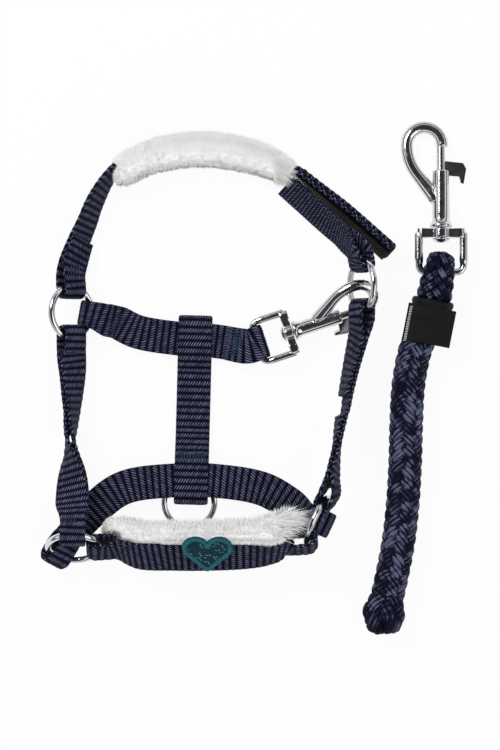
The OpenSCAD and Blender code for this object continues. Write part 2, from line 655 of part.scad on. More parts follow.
// Noseband pad: a crowned pad along the inner face of the noseband
nose_fine = curve(nose_route, 6);
nose_pad_first = 3;
nose_pad_last = 45;
nose_pad_route = [for (i = [nose_pad_first:nose_pad_last]) nose_fine[i]];
module nose_plush() {
    s = nose_pad_route;
    p = [for (q = s) xyz(q)];
    t = along(p);
    n = len(s) - 1;
    set_in = web_t / 2 + lay_gap + nose_pad_t / 2;
    color(plush_white) placed()
    skin([for (i = [0:n])
        let (w = square_to(wide(s[i]), t[i]), out = cross(t[i], w),
            rise = loop_rise(norm(p[i] - nose_left), bar_loop, nose_tail)
                + loop_rise(norm(p[i] - nose_right), cross_loop, nose_tail))
        pad_ring(p[i] - out * (set_in + rise), -w, out, nose_pad_w, nose_pad_t, pad_swell(i / n))]);
}

// Heart patch on the front of the noseband
heart_tilt = atan2(0.6, 0.8);
heart_up = 3.5;
heart_at = [-4, nose_y, nose_rise] + heart_up * [0, cos(heart_tilt), sin(heart_tilt)];
heart_r = heart_w * 0.27;
module heart_outline(inset) {
    r = heart_r - inset;
    for (side = [-1, 1])
        translate([side * (heart_w / 2 - heart_r), heart_r * 0.55]) circle(r);
    reach = heart_w / 2 - heart_r;
    low = heart_w * 0.46 - inset * 1.25;
    polygon([[0, -low], [reach + r * 0.77, heart_r * 0.55 - r * 0.64], [reach, heart_r * 0.55 + r * 0.3],
        [0, heart_r * 0.75 - inset * 0.6], [-reach, heart_r * 0.55 + r * 0.3],
        [-reach - r * 0.77, heart_r * 0.55 - r * 0.64]]);
}
module on_noseband()
    translate(heart_at) rotate([heart_tilt, 0, 0]) translate([0, 0, web_t / 2 + 2 * lay_gap]) children();
module heart_patch()
    color(deep_teal) placed() on_noseband() linear_extrude(heart_t) heart_outline(heart_border_w + 0.05);
module heart_border()
    color(teal) placed() on_noseband() linear_extrude(heart_t * 1.4)
    difference() {
        heart_outline(0);
        heart_outline(heart_border_w);
    }

// Lead: a short rope folded through the snap's eye, sewn, and finished with a knob
rope_z = rope_d / 2 + 0.02;
fold_turn = 79;
fold_flat = [cos(fold_turn), sin(fold_turn), 0];
fold_side = [sin(fold_turn), -cos(fold_turn), 0];
fold_at = lead_eye_at - lead_side * 1.1 + fold_flat * 0.8;
fold_back = 13;
rope_top = fold_at - fold_flat * (fold_back + 0.1);
lead_route = [
    [rope_top[0], rope_top[1], rope_z],
    [rope_top[0] - fold_flat[0] * 8, rope_top[1] - fold_flat[1] * 8, rope_z],
    [91, 2, rope_z],
    [87.5, -15, rope_z],
    [86.5, -32, rope_z],
    [86, -50, rope_z],
    [85, -68, rope_z],
    [83, -86, rope_z],
    [80, -102, rope_z],
    [78, -111, rope_z]];
rope_sides = 12;
function tube_ring(at, side, up, wide_d, high_d) =
    [for (k = [0:rope_sides - 1])
        at + side * wide_d / 2 * cos(360 * k / rope_sides) - up * high_d / 2 * sin(360 * k / rope_sides)];
module lead_rope() {
    p = curve(lead_route, 1);
    t = along(p);
    color(navy) placed()
    skin([for (i = [0:len(p) - 1]) tube_ring(p[i], cross(t[i], [0, 0, 1]), cross(cross(t[i], [0, 0, 1]), t[i]),
        rope_d, rope_d)]);
}

// Fold of the rope round the eye's bar
fold_w = 14;
fold_r = eye_bar_d / 2 + loop_gap + rope_fold_t / 2;
module lead_loop() {
    low = fold_at - fold_flat * fold_back - [0, 0, fold_r];
    high = fold_at - fold_flat * fold_back + [0, 0, fold_r];
    p = concat([low], [for (a = [-90:22.5:90]) fold_at + fold_r * (cos(a) * fold_flat + sin(a) * [0, 0, 1])], [high]);
    t = along(p);
    color(navy) placed()
    skin([for (i = [0:len(p) - 1])
        tube_ring(p[i], fold_side, cross(fold_side, t[i]), fold_w, rope_fold_t)]);
}

module lead_knob() {
    last = lead_route[len(lead_route) - 1];
    before = lead_route[len(lead_route) - 2];
    way = unit(last - before);
    side = cross(way, [0, 0, 1]);
    knob_len = 15;
    r = rope_knob_d / 2;
    color(navy) placed()
    in_frame([[last[0], last[1], r], side, way])
    along_y() rotate_extrude()
        polygon([[0, 0.05], [rope_d / 2 - 1, 0.05], [r - 0.6, 3], [r, 6], [r - 0.4, 10], [r - 2.5, 13.4],
            [r - 5, knob_len - 0.3], [0, knob_len]]);
}

module lead_label() {
    wrap_r = rope_d / 2 + part_gap;
    label_back = 0.4;
    label_drop = 1.5;
    way = unit(lead_route[1] - lead_route[0]);
    side = cross(way, [0, 0, 1]);
    color(label_black) placed()
    in_frame([lead_route[0] + way * label_back, side, way]) {
        along_y() rotate([0, 0, 180]) rotate_extrude(angle = 180) translate([wrap_r, 0]) square([label_t, 8]);
        translate([-label_w / 2, label_drop, wrap_r]) cube([label_w, label_h, label_t]);
    }
}

crown_strap();
crown_plush();
crown_tail();
hook_tape();
crown_billet();
loop_tape();
left_cheek_strap();
right_cheek_strap();
throat_strap();
connecting_strap();
jaw_strap();
nose_strap();
nose_plush();
heart_patch();
heart_border();
upper_left_ring();
upper_right_ring();
lower_left_ring();
lower_right_ring();
chin_ring();
throat_snap_body();
throat_snap_bolt();
throat_snap_spring();
throat_snap_eye();
throat_snap_stud();
lead_snap_body();
lead_snap_bolt();
lead_snap_spring();
lead_snap_eye();
lead_snap_stud();
lead_rope();
lead_loop();
lead_knob();
lead_label();
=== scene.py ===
import json
import math

import bmesh
import bpy
import numpy as np
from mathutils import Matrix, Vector, noise
from mathutils.bvhtree import BVHTree


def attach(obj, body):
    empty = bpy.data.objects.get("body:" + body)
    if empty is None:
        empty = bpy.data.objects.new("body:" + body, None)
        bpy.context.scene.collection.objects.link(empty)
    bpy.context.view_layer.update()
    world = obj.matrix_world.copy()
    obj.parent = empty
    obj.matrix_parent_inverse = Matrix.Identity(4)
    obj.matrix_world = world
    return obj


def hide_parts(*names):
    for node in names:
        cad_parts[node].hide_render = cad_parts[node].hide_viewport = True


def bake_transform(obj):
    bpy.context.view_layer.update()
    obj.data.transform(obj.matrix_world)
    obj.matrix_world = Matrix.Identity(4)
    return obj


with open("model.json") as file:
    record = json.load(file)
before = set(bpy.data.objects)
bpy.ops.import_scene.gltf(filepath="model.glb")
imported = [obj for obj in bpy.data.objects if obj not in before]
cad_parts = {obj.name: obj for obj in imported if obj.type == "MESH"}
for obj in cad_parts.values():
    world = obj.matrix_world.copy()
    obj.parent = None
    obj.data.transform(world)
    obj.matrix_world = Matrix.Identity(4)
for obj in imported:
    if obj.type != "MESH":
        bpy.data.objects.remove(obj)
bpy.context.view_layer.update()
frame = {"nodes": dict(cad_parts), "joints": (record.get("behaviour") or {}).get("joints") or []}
scene = bpy.context.scene
MM = 0.001
UP = np.array([0.0, 0.0, 1.0])
# Move from the drawing's own origin to the frame's, in millimetres
HOME = np.array([-0.89, 0.776, 0.0])


def in_scene(name, data):
    made = bpy.data.objects.new(name, data)
    scene.collection.objects.link(made)
    return made


# Camera: straight above the table, framed on the photograph
PHOTO_HIGH = 750
PIXEL = 0.455 * MM
VIEW_CENTRE = (14.35 * MM, -9.92 * MM)
VIEW_LEVEL = 12 * MM
CAMERA_AWAY = 2.0
CAMERA_SEES = 20.0
SENSOR = 36.0
camera_data = bpy.data.cameras.new("camera")
camera_data.sensor_width = SENSOR
camera_data.lens = SENSOR * CAMERA_AWAY / (PHOTO_HIGH * PIXEL)
camera_data.clip_end = CAMERA_SEES
camera = in_scene("camera", camera_data)
camera.location = (*VIEW_CENTRE, VIEW_LEVEL + CAMERA_AWAY)
scene.camera = camera


# Vector helpers on rows of points
def unit(rows):
    size = np.linalg.norm(rows, axis=-1, keepdims=True)
    return rows / np.maximum(size, 1e-12)


def lengths(points):
    steps = np.linalg.norm(np.diff(points, axis=0), axis=1)
    return np.concatenate([[0.0], np.cumsum(steps)])


def smooth_through(known, values, wanted):
    """Smooth curve through values at the known places, read at the wanted places."""
    step = np.diff(known)[:, None]
    slope = np.diff(values, axis=0) / step
    grade = np.empty_like(values)
    grade[0] = slope[0]
    grade[-1] = slope[-1]
    grade[1:-1] = (slope[:-1] * step[1:] + slope[1:] * step[:-1]) / (step[1:] + step[:-1])
    at = np.clip(np.searchsorted(known, wanted, side="right") - 1, 0, len(known) - 2)
    gap = step[at]
    t = ((wanted - known[at])[:, None]) / gap
    return (
        (2 * t**3 - 3 * t**2 + 1) * values[at]
        + (t**3 - 2 * t**2 + t) * gap * grade[at]
        + (3 * t**2 - 2 * t**3) * values[at + 1]
        + (t**3 - t**2) * gap * grade[at + 1]
    )


def dense(points, step):
    """Points along straight runs, no further apart than step."""
    rows = []
    for a, b in zip(points[:-1], points[1:]):
        count = max(1, int(math.ceil(np.linalg.norm(b - a) / step)))
        rows.extend(a + (b - a) * k / count for k in range(count))
    return np.array(rows + [points[-1]])


def ease(t):
    t = np.clip(t, 0, 1)
    return t * t * (3 - 2 * t)


def turned_to(rows, way):
    """Rows of directions, each turned round where it points away from a direction."""
    return rows * np.sign(rows @ way)[:, None]


def turned_axes(degrees):
    """Directions along and across a line that is turned from X on the table, and up."""
    turn = math.radians(degrees)
    along = np.array([math.cos(turn), math.sin(turn), 0.0])
    return along, np.cross(UP, along), UP


def placed(origin, axes, *distances):
    """Points in metres at distances along three axes from an origin, both in millimetres."""
    distances = np.broadcast_arrays(*distances)
    return (origin + sum(far[..., None] * axis for far, axis in zip(distances, axes))) * MM


def frames_along(points, upright):
    """Directions along, across and up at each point, with up as near to upright as it goes."""
    along = unit(np.gradient(points, axis=0))
    across = unit(np.cross(along, upright))
    return along, across, np.cross(across, along)


# Mesh helpers
def shade_smooth(made):
    made.data.polygons.foreach_set("use_smooth", [True] * len(made.data.polygons))
    return made


def new_object(name, points, faces):
    mesh = bpy.data.meshes.new(name)
    mesh.from_pydata(np.asarray(points).tolist(), [], [list(map(int, f)) for f in faces])
    mesh.update()
    return shade_smooth(in_scene(name, mesh))


def set_crowns(made, values):
    """Keeps a value from 0 to 1 at each point, mostly how far it stands out of its yarn, which the yarn's
    material turns into painted shade where low and a painted highlight where high.
    """
    layer = made.data.attributes.new("crown", "FLOAT", "POINT")
    layer.data.foreach_set("value", np.asarray(values, np.float32).ravel())


def ring_faces(near, far):
    """Faces between rows of corner numbers and the rows after them, where each row is a closed ring."""
    turned = [np.roll(rows, -1, axis=1) for rows in (near, far)]
    return np.stack([near, turned[0], turned[1], far], -1).reshape(-1, 4)


def new_store():
    return {"points": [], "faces": [], "count": 0}


def add_tube(store, rings):
    """Adds a capped tube, given as an array of rings of points, to a store of points and faces."""
    count, sides = rings.shape[:2]
    corners = store["count"] + np.arange(count * sides).reshape(count, sides)
    turned = np.roll(corners, -1, axis=1)
    caps = corners[-1, -1] + np.array([1, 2])
    start = np.stack([np.full(sides, caps[0]), turned[0], corners[0]], -1)
    end = np.stack([np.full(sides, caps[1]), corners[-1], turned[-1]], -1)
    ends = np.stack([rings[0].mean(0), rings[-1].mean(0)])
    store["points"].append(np.concatenate([rings.reshape(-1, 3), ends]))
    store["faces"].extend([*ring_faces(corners[:-1], corners[1:]), *start, *end])
    store["count"] += count * sides + 2


def stored_object(name, store):
    return new_object(name, np.concatenate(store["points"]), store["faces"])


def round_rings(points, across, up, sides):
    """Rings round points, through the ends of the rows across and up."""
    turn = 2 * np.pi * np.arange(sides) / sides
    return (
        points[:, None]
        + np.cos(turn)[None, :, None] * across[:, None]
        - np.sin(turn)[None, :, None] * up[:, None]
    )


# A direction that no thread runs along
THREAD_UPRIGHT = np.array([0.13, 0.31, 0.94])


def add_thread(store, points, radius, sides):
    _, across, up = frames_along(points, THREAD_UPRIGHT)
    add_tube(store, round_rings(points, radius * across, radius * up, sides))


def mesh_points(made):
    return np.array([v.co for v in made.data.vertices]), np.array([v.normal for v in made.data.vertices])


def set_points(made, points):
    made.data.vertices.foreach_set("co", points.ravel())
    made.data.update()


def tree_of(made):
    mesh = made.data
    return BVHTree.FromPolygons([v.co for v in mesh.vertices], [list(f.vertices) for f in mesh.polygons])


def outward(made):
    """Turns every face of a closed mesh to face out."""
    shape = bmesh.new()
    shape.from_mesh(made.data)
    bmesh.ops.recalc_face_normals(shape, faces=shape.faces)
    shape.to_mesh(made.data)
    shape.free()
    return shade_smooth(made)


WELD = 2e-6


def closed_copy(node, name):
    """A welded copy of a CAD node's mesh as a new object."""
    mesh = frame["nodes"][node].data.copy()
    shape = bmesh.new()
    shape.from_mesh(mesh)
    bmesh.ops.remove_doubles(shape, verts=shape.verts, dist=WELD)
    shape.to_mesh(mesh)
    shape.free()
    mesh.name = name
    return in_scene(name, mesh)


def add_remesh(made, voxel):
    remesh = made.modifiers.new("remesh", "REMESH")
    remesh.mode = "VOXEL"
    remesh.voxel_size = voxel


def with_modifiers_applied(made):
    graph = bpy.context.evaluated_depsgraph_get()
    mesh = bpy.data.meshes.new_from_object(made.evaluated_get(graph))
    made.modifiers.clear()
    made.data = mesh
    return made


def dress(made, look):
    made.data.materials.clear()
    made.data.materials.append(look)


def finish_piece(made, body, look, nodes=()):
    dress(made, look)
    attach(made, body)
    if nodes:
        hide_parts(*nodes)
    return made


# Materials
def material(name, colour, roughness, metallic=0.0, gloss=0.5):
    made = bpy.data.materials.new(name)
    made.use_nodes = True
    shader = made.node_tree.nodes["Principled BSDF"]
    shader.inputs["Base Color"].default_value = (*colour, 1)
    shader.inputs["Roughness"].default_value = roughness
    shader.inputs["Metallic"].default_value = metallic
    shader.inputs["Specular IOR Level"].default_value = gloss
    return made, made.node_tree, shader


def add_node(tree, kind, **settings):
    node = tree.nodes.new(kind)
    for name, value in settings.items():
        if name in node.inputs:
            node.inputs[name].default_value = value
        else:
            setattr(node, name, value)
    return node


def object_place(tree):
    return tree.nodes.new("ShaderNodeTexCoord").outputs["Object"]


def noise_node(tree, size, detail, coordinates):
    """Noise whose grain is about size metres across."""
    node = add_node(tree, "ShaderNodeTexNoise", Scale=0.5 / size, Detail=detail)
    tree.links.new(coordinates, node.inputs["Vector"])
    return node.outputs["Fac"]


def ramp(tree, factor, stops, target):
    """Sets a socket from a factor through stops, each a place and a colour."""
    node = tree.nodes.new("ShaderNodeValToRGB")
    steps = node.color_ramp.elements
    while len(steps) < len(stops):
        steps.new(0.5)
    for step, (place, colour) in zip(steps, stops):
        step.position = place
        step.color = (*colour, 1)
    tree.links.new(factor, node.inputs["Fac"])
    tree.links.new(node.outputs["Color"], target)


def bump(tree, shader, height, strength, distance):
    node = add_node(tree, "ShaderNodeBump", Strength=strength, Distance=distance)
    tree.links.new(height, node.inputs["Height"])
    tree.links.new(node.outputs["Normal"], shader.inputs["Normal"])


def mixed(tree, factor, first, second):
    node = tree.nodes.new("ShaderNodeMixShader")
    for source, socket in zip((factor, first, second), node.inputs):
        tree.links.new(source, socket)
    return node.outputs[0]


def grey(level, blue=0.0):
    return (level, level, level + blue)


def yarn_material(name, dark, middle, painted_highlight, roughness, gloss, full=0.55):
    """Yarn whose colour holds painted light: painted shade, dark in the grooves, and a painted highlight,
    lighter where a yarn crowns, with a fine fibre bump.
    """
    made, tree, shader = material(name, middle, roughness, gloss=gloss)
    # The crown value picks the colour: 0 gives the painted groove shade, full gives the yarn's own colour,
    # and 1 gives the painted highlight.
    crown = add_node(tree, "ShaderNodeAttribute", attribute_name="crown").outputs["Fac"]
    ramp(tree, crown, [(0.0, dark), (full, middle), (1.0, painted_highlight)], shader.inputs["Base Color"])
    bump(tree, shader, noise_node(tree, 0.16 * MM, 2.0, object_place(tree)), 0.35, 0.08 * MM)
    return made


def metal_material(name, colour, rough_low, rough_high):
    """Plated metal with duller patches and a faint ripple."""
    made, tree, shader = material(name, colour, rough_low, metallic=1.0)
    place = object_place(tree)
    patches = noise_node(tree, 1.6 * MM, 3.0, place)
    ramp(tree, patches, [(0.35, grey(rough_low)), (0.75, grey(rough_high))], shader.inputs["Roughness"])
    bump(tree, shader, noise_node(tree, 0.9 * MM, 2.0, place), 0.06, 0.05 * MM)
    return made


def plush_material():
    made, tree, shader = material("plush", (0.96, 0.96, 0.95), 0.95, gloss=0.1)
    place = object_place(tree)
    tufts = noise_node(tree, 2.5 * MM, 3.0, place)
    ramp(tree, tufts, [(0.3, (0.94, 0.94, 0.925)), (0.7, (0.98, 0.98, 0.97))], shader.inputs["Base Color"])
    shader.inputs["Sheen Weight"].default_value = 0.3
    shader.inputs["Sheen Roughness"].default_value = 0.6
    bump(tree, shader, noise_node(tree, 0.4 * MM, 3.0, place), 0.2, 0.2 * MM)
    return made


def label_material():
    """Black ribbon with a fine slanting weave."""
    made, tree, shader = material("label", grey(0.008, 0.001), 0.6, gloss=0.12)
    weave = add_node(tree, "ShaderNodeTexWave", Scale=420.0, Distortion=1.5, Detail=2.0)
    weave.bands_direction = "DIAGONAL"
    tree.links.new(object_place(tree), weave.inputs["Vector"])
    stops = [(0.2, grey(0.006, 0.001)), (0.9, grey(0.011, 0.001))]
    ramp(tree, weave.outputs["Fac"], stops, shader.inputs["Base Color"])
    bump(tree, shader, weave.outputs["Fac"], 0.2, 0.06 * MM)
    return made


def pale_thread_material():
    made, tree, shader = material("pale_thread", grey(0.62), 0.7)
    fibres = noise_node(tree, 0.5 * MM, 2.0, object_place(tree))
    ramp(tree, fibres, [(0.3, grey(0.50)), (0.7, grey(0.72))], shader.inputs["Base Color"])
    return made


# Colours of each yarn: painted groove shade, its own colour and a painted highlight, then roughness, gloss
# and where its own colour sits.
webbing_look = yarn_material(
    "webbing", (0.0018, 0.0021, 0.006), (0.012, 0.0135, 0.034), (0.21, 0.22, 0.34), 0.55, 0.03, 0.45
)
rope_look = yarn_material(
    "rope", (0.0014, 0.0016, 0.0045), (0.0075, 0.0088, 0.024), (0.105, 0.112, 0.185), 0.5, 0.03, 0.6
)
stitch_look = yarn_material(
    "stitching", (0.006, 0.010, 0.022), (0.018, 0.032, 0.065), (0.055, 0.085, 0.145), 0.55, 0.05
)
hook_look = yarn_material(
    "hook_tape", (0.0015, 0.0015, 0.0016), (0.004, 0.004, 0.0045), (0.02, 0.02, 0.022), 0.5, 0.05
)
satin_look = yarn_material(
    "heart_satin", (0.002, 0.020, 0.028), (0.007, 0.072, 0.098), (0.04, 0.22, 0.28), 0.45, 0.06
)
fill_look = yarn_material(
    "heart_fill", (0.006, 0.026, 0.035), (0.012, 0.054, 0.072), (0.24, 0.46, 0.50), 0.45, 0.06
)
ring_look = metal_material("ring_nickel", (0.70, 0.71, 0.72), 0.08, 0.18)
snap_look = metal_material("snap_nickel", (0.68, 0.69, 0.70), 0.08, 0.2)
spring_look = metal_material("spring_steel", (0.45, 0.45, 0.46), 0.25, 0.4)
plush_look = plush_material()
label_look = label_material()
pale_look = pale_thread_material()

# Straps: the middle line of a CAD strap is read from the rings of its solid
SAME_POINT = 0.5e-6
# Points on a strap's end have fewer neighbours than this, apart from the one that its fan starts from
END_CORNERS = 6


def strap_line(node, near):
    """Middle points and half-width directions along a CAD strap, from the end nearest to a point."""
    mesh = frame["nodes"][node].data
    place = np.array([v.co for v in mesh.vertices])
    faces = np.array([list(p.vertices) for p in mesh.polygons])
    keys, back = np.unique(np.round(place / SAME_POINT).astype(np.int64), axis=0, return_inverse=True)
    back = back.ravel()
    points = np.zeros((len(keys), 3))
    points[back] = place
    nearby = [set() for _ in keys]
    for a, b, c in back[faces]:
        nearby[a] |= {b, c}
        nearby[b] |= {a, c}
        nearby[c] |= {a, b}
    most = max(len(n) for n in nearby)
    ends = [i for i, n in enumerate(nearby) if len(n) == most]
    near = np.array(near) * MM
    corner = min(ends, key=lambda i: np.linalg.norm(points[i] - near))
    ring = {corner} | {i for i in nearby[corner] if len(nearby[i]) < END_CORNERS}
    seen = set()
    middles, halves = [], []
    while ring:
        seen |= ring
        corners = points[sorted(ring)]
        apart = np.linalg.norm(corners[:, None] - corners[None], axis=2)
        a, b = np.unravel_index(np.argmax(apart), apart.shape)
        half = (corners[a] - corners[b]) / 2
        if halves and half @ halves[-1] < 0:
            half = -half
        middles.append((corners[a] + corners[b]) / 2)
        halves.append(half)
        ring = {i for j in ring for i in nearby[j]} - seen
    return np.array(middles), np.array(halves)


LEAST_STEPS = 8


def resample(middles, halves, step):
    known = lengths(middles)
    wanted = np.linspace(0, known[-1], max(LEAST_STEPS, int(round(known[-1] / step))) + 1)
    return wanted, smooth_through(known, middles, wanted), smooth_through(known, halves, wanted)


def flat_directions(middle, half):
    """Directions along a strap, its half widths set square to them, and the directions out of its face."""
    along = unit(np.gradient(middle, axis=0))
    half = half - (half * along).sum(1, keepdims=True) * along
    return along, half, unit(np.cross(along, half))


def both_faces(upper, lower):
    """Values across a strap's upper face and back across its lower one."""
    return np.concatenate([upper, lower[..., -2:0:-1]], axis=-1)


RIB_PITCH = 3.1 * MM
RIB_STEPS = 6
RIB_DEPTH = 0.42 * MM
YARNS = 13
YARN_SLANT = 1.6
KNIT_PITCH = 1.7 * MM
KNIT_YARNS = 10
ACROSS_STEPS = 78
EDGE_SQUARENESS = 12
WEB_THICK = 1.75 * MM
WEB_HALF = 7.75
WEB_END_CROWN = 0.1


def webbing(name, middles, halves, seed, pitch=RIB_PITCH, yarns=YARNS):
    """Ribbed webbing along a line: rows of short slanted yarns across it and a rounded edge on each side."""
    length, middle, half = resample(middles, halves, pitch / RIB_STEPS)
    _, half, face = flat_directions(middle, half)
    dice = np.random.default_rng(seed)
    across = np.linspace(1, -1, ACROSS_STEPS + 1)
    edge = np.sqrt(np.maximum(0, 1 - np.abs(across) ** EDGE_SQUARENESS))
    lifts, crowns = [], []
    for side in (1, -1):
        rib = length[:, None] / pitch + (0.5 if side < 0 else 0)
        row = np.floor(rib).astype(int)
        part = rib - row
        rise = np.sin(np.pi * part) ** 0.8
        yarn = (across[None] + 1) / 2 * yarns + 0.5 * (row % 2) + YARN_SLANT * (part - 0.5)
        cell = np.floor(yarn).astype(int)
        round_yarn = np.sqrt(np.maximum(0, 1 - (2 * (yarn - cell) - 1) ** 2))
        tones = dice.random((row.max() + 2, yarns + 4))
        tone = tones[row, np.clip(cell + 1, 0, yarns + 3)]
        height = RIB_DEPTH * (rise * (0.45 + 0.55 * round_yarn) * (0.85 + 0.3 * tone) - 0.5)
        # Painted light on the webbing: each rib is lit along its middle and takes painted shade in its
        # grooves, and a narrow painted highlight runs on each yarn's crown, stronger or weaker at random by
        # its tone.
        lit = np.clip((np.sin(np.pi * part) - 0.2) / 0.5, 0, 1)
        lifts.append((WEB_THICK / 2 + height) * edge[None] * side)
        crowns.append(lit * (0.3 * round_yarn + 0.7 * round_yarn**6 * (0.6 + 0.4 * tone)))
    wide = both_faces(across, across)[None, :, None] * half[:, None]
    store = new_store()
    add_tube(store, middle[:, None] + wide + both_faces(*lifts)[..., None] * face[:, None])
    made = stored_object(name, store)
    set_crowns(made, np.concatenate([both_faces(*crowns).ravel(), [WEB_END_CROWN] * 2]))
    return made


# The throat strap's upper ply: where it is still gathered and where it is open, and its half width there
OPENING_X = (-59.5, -49.0)
OPENING_HALF = (5.81, WEB_HALF)
UPPER_PLY_Z = 5.0


def opened_out(middles, halves):
    """The throat strap's upper ply opens to its full width close behind its ring, on its lower side."""
    size = np.linalg.norm(halves, axis=1)
    full = np.interp(middles[:, 0] / MM, OPENING_X, OPENING_HALF) * MM
    more = (np.maximum(full - size, 0) * (middles[:, 2] > UPPER_PLY_Z * MM))[:, None]
    way = unit(halves)
    return middles - way * np.sign(way[:, 1:2]) * more, halves + way * more


# Each plain strap, a place near its first end, and its seed
PLAIN_STRAPS = [
    ("left_cheek_strap", (-66, -10, 10), 11),
    ("right_cheek_strap", (64, 10, 16), 12),
    ("throat_strap", (-60, 12, 6), 13),
    ("jaw_strap", (-66, -90, 8), 14),
    ("nose_strap", (-54, -88, 16), 15),
    ("crown_billet", (36, 76, 8), 16),
]
strap_lines = {}
for node, near, seed in PLAIN_STRAPS:
    strap_lines[node] = strap_line(node, near)
    if node == "throat_strap":
        strap_lines[node] = opened_out(*strap_lines[node])
    ribs = (KNIT_PITCH, KNIT_YARNS) if node == "crown_billet" else (RIB_PITCH, YARNS)
    strap = webbing(node.replace("_strap", "") + "_webbing", *strap_lines[node], seed, *ribs)
    finish_piece(strap, "halter", webbing_look, [node])

# Crown webbing: runs on into the tail, folds back at the tip, and bends at the closure
TAIL_PLY = 1.0 * MM
TAIL_PARTING_RINGS = 2.0
# From the tail towards the billet
INWARD = np.array([-0.67, -0.74, 0.0])
crown_middle, crown_half = strap_lines["crown_strap"] = strap_line("crown_strap", (-66, 40, 10))
tail_middle, tail_half = strap_line("crown_tail", (36, 86, 8))
tail_along, _, tail_face = flat_directions(tail_middle, tail_half)
tail_face = turned_to(tail_face, INWARD)
tip_turn = np.radians(np.linspace(-90, 90, 7)[1:-1])[:, None]
tip_round = np.cos(tip_turn) * tail_along[-1] + np.sin(tip_turn) * tail_face[-1]
tip_middle = tail_middle[-1] - tail_along[-1] * TAIL_PLY + TAIL_PLY * tip_round
outer_share = ease(np.arange(len(tail_middle)) / TAIL_PARTING_RINGS)[:, None]
outer_ply = tail_middle - tail_face * TAIL_PLY * outer_share
inner_ply = (tail_middle + tail_face * TAIL_PLY)[::-1]
outer_ply[-1] -= tail_along[-1] * TAIL_PLY
inner_ply[0] -= tail_along[-1] * TAIL_PLY
whole_middle = np.concatenate([crown_middle[:-1], outer_ply[1:], tip_middle, inner_ply[:-1]])
tip_half = np.repeat(tail_half[-1:], len(tip_turn), 0)
whole_half = np.concatenate([crown_half[:-1], tail_half[1:], tip_half, tail_half[::-1][:-1]])
for i in range(1, len(whole_half)):
    if whole_half[i] @ whole_half[i - 1] < 0:
        whole_half[i] = -whole_half[i]
crown_webbing = webbing("crown_webbing", whole_middle, whole_half, 17)
dress(crown_webbing, webbing_look)
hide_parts("crown_strap", "crown_tail")
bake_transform(crown_webbing)

# Connecting strap: one flat loop of webbing over the throat and jaw straps, as places along it and heights
CONNECT_AT = np.array([-10.0, 0.0, 0.0]) + HOME
CONNECT_AXES = turned_axes(-1.5)
CONNECT_LINE = np.array([
    (-20.0, 0.9), (13.35, 0.9), (15.25, 1.7), (15.75, 3.55), (15.05, 5.4), (13.55, 6.2), (-1.75, 6.2),
    (-8.75, 2.9), (-36.25, 2.9), (-48.25, 10.2), (-66.35, 10.2), (-68.05, 9.2), (-68.75, 7.2),
    (-68.75, 3.3), (-68.05, 1.6), (-66.35, 0.9), (-20.4, 0.9)])
CONNECT_STEP = 4 * MM
connect_middle = dense(placed(CONNECT_AT, CONNECT_AXES, 0.0, *CONNECT_LINE.T), CONNECT_STEP)
connect_half = np.tile(CONNECT_AXES[0] * WEB_HALF * MM, (len(connect_middle), 1))
connecting = webbing("connecting_webbing", connect_middle, connect_half, 18)
finish_piece(connecting, "halter", webbing_look, ["connecting_strap"])

# Braided lead: eight strands each way, over two and under two, round a plain core
STRANDS = 8
BRAID_TURN = 40 * MM
BRAID_STEP = 0.9 * MM
ROPE_R = 8 * MM
STRAND_OUT = 5.75 * MM
STRAND_WAVE = 0.95 * MM
STRAND_HALF_WIDE = 2.15 * MM
STRAND_HALF_THICK = 1.15 * MM
STRAND_SIDES = 16
STRAND_LOBES = 9
LOBE_DEPTH = 0.10
LOBE_SHIFT = 0.4
STRAND_END_CROWN = 0.2
CORE_SHARE = 0.62


def braided_piece(name, node, points, upright, wide, high, first_turn, seed):
    """A braid along a path whose section is wide by high, as half sizes over the rope's own radius."""
    store, crowns = new_store(), []
    _, across, up = frames_along(points, upright)
    run = lengths(points) + first_turn
    beat = 2 * STRANDS * run / BRAID_TURN
    dice = np.random.default_rng(seed)
    turn = 2 * np.pi * np.arange(STRAND_SIDES) / STRAND_SIDES
    lobes = STRAND_LOBES * turn / 2 + LOBE_SHIFT
    flat = np.sign(np.cos(turn)) * np.abs(np.cos(turn)) ** 0.8
    round_up = np.sin(turn) * (1 + LOBE_DEPTH * np.abs(np.cos(lobes)))
    scale = np.sqrt(wide * high)[:, None, None]
    for way in (1, -1):
        for i in range(STRANDS):
            angle = way * 2 * np.pi * run / BRAID_TURN + 2 * np.pi * i / STRANDS
            wave = way * np.cos(np.pi / 2 * (2 * i + way * beat - 0.5))
            out = STRAND_OUT + STRAND_WAVE * wave
            c, n = np.cos(angle), np.sin(angle)
            centre = points + across * (out * c * wide)[:, None] + up * (out * n * high)[:, None]
            facing = unit(across * (c * high)[:, None] + up * (n * wide)[:, None])
            heading = unit(np.gradient(centre, axis=0))
            sideways = unit(np.cross(heading, facing))
            facing = np.cross(sideways, heading)
            tone = 0.75 + 0.5 * dice.random()
            rings = (
                centre[:, None]
                + scale * STRAND_HALF_WIDE * flat[None, :, None] * sideways[:, None]
                - scale * STRAND_HALF_THICK * round_up[None, :, None] * facing[:, None]
            )
            add_tube(store, rings)
            # The strand's colour value: painted shade where it dips under the crossing strands, painted
            # highlight streaks along its sub-yarns, and a tone that differs at random.
            painted_streak = 0.35 + 0.65 * np.abs(np.sin(lobes + dice.random()))
            crown = (0.25 + 0.75 * (wave[:, None] + 1) / 2) * painted_streak[None] * tone
            crown = (crown * (0.7 + 0.6 * dice.random(len(points)))[:, None]) ** 1.5
            crowns.append(np.concatenate([crown.ravel(), [STRAND_END_CROWN] * 2]))
    core_wide = CORE_SHARE * ROPE_R * across * wide[:, None]
    core_high = CORE_SHARE * ROPE_R * up * high[:, None]
    add_tube(store, round_rings(points, core_wide, core_high, STRAND_SIDES))
    # The core takes the lowest value, the painted groove shade.
    crowns.append(np.zeros(len(points) * STRAND_SIDES + 2))
    made = stored_object(name, store)
    set_crowns(made, np.concatenate(crowns))
    return finish_piece(made, "lead", rope_look, [node])


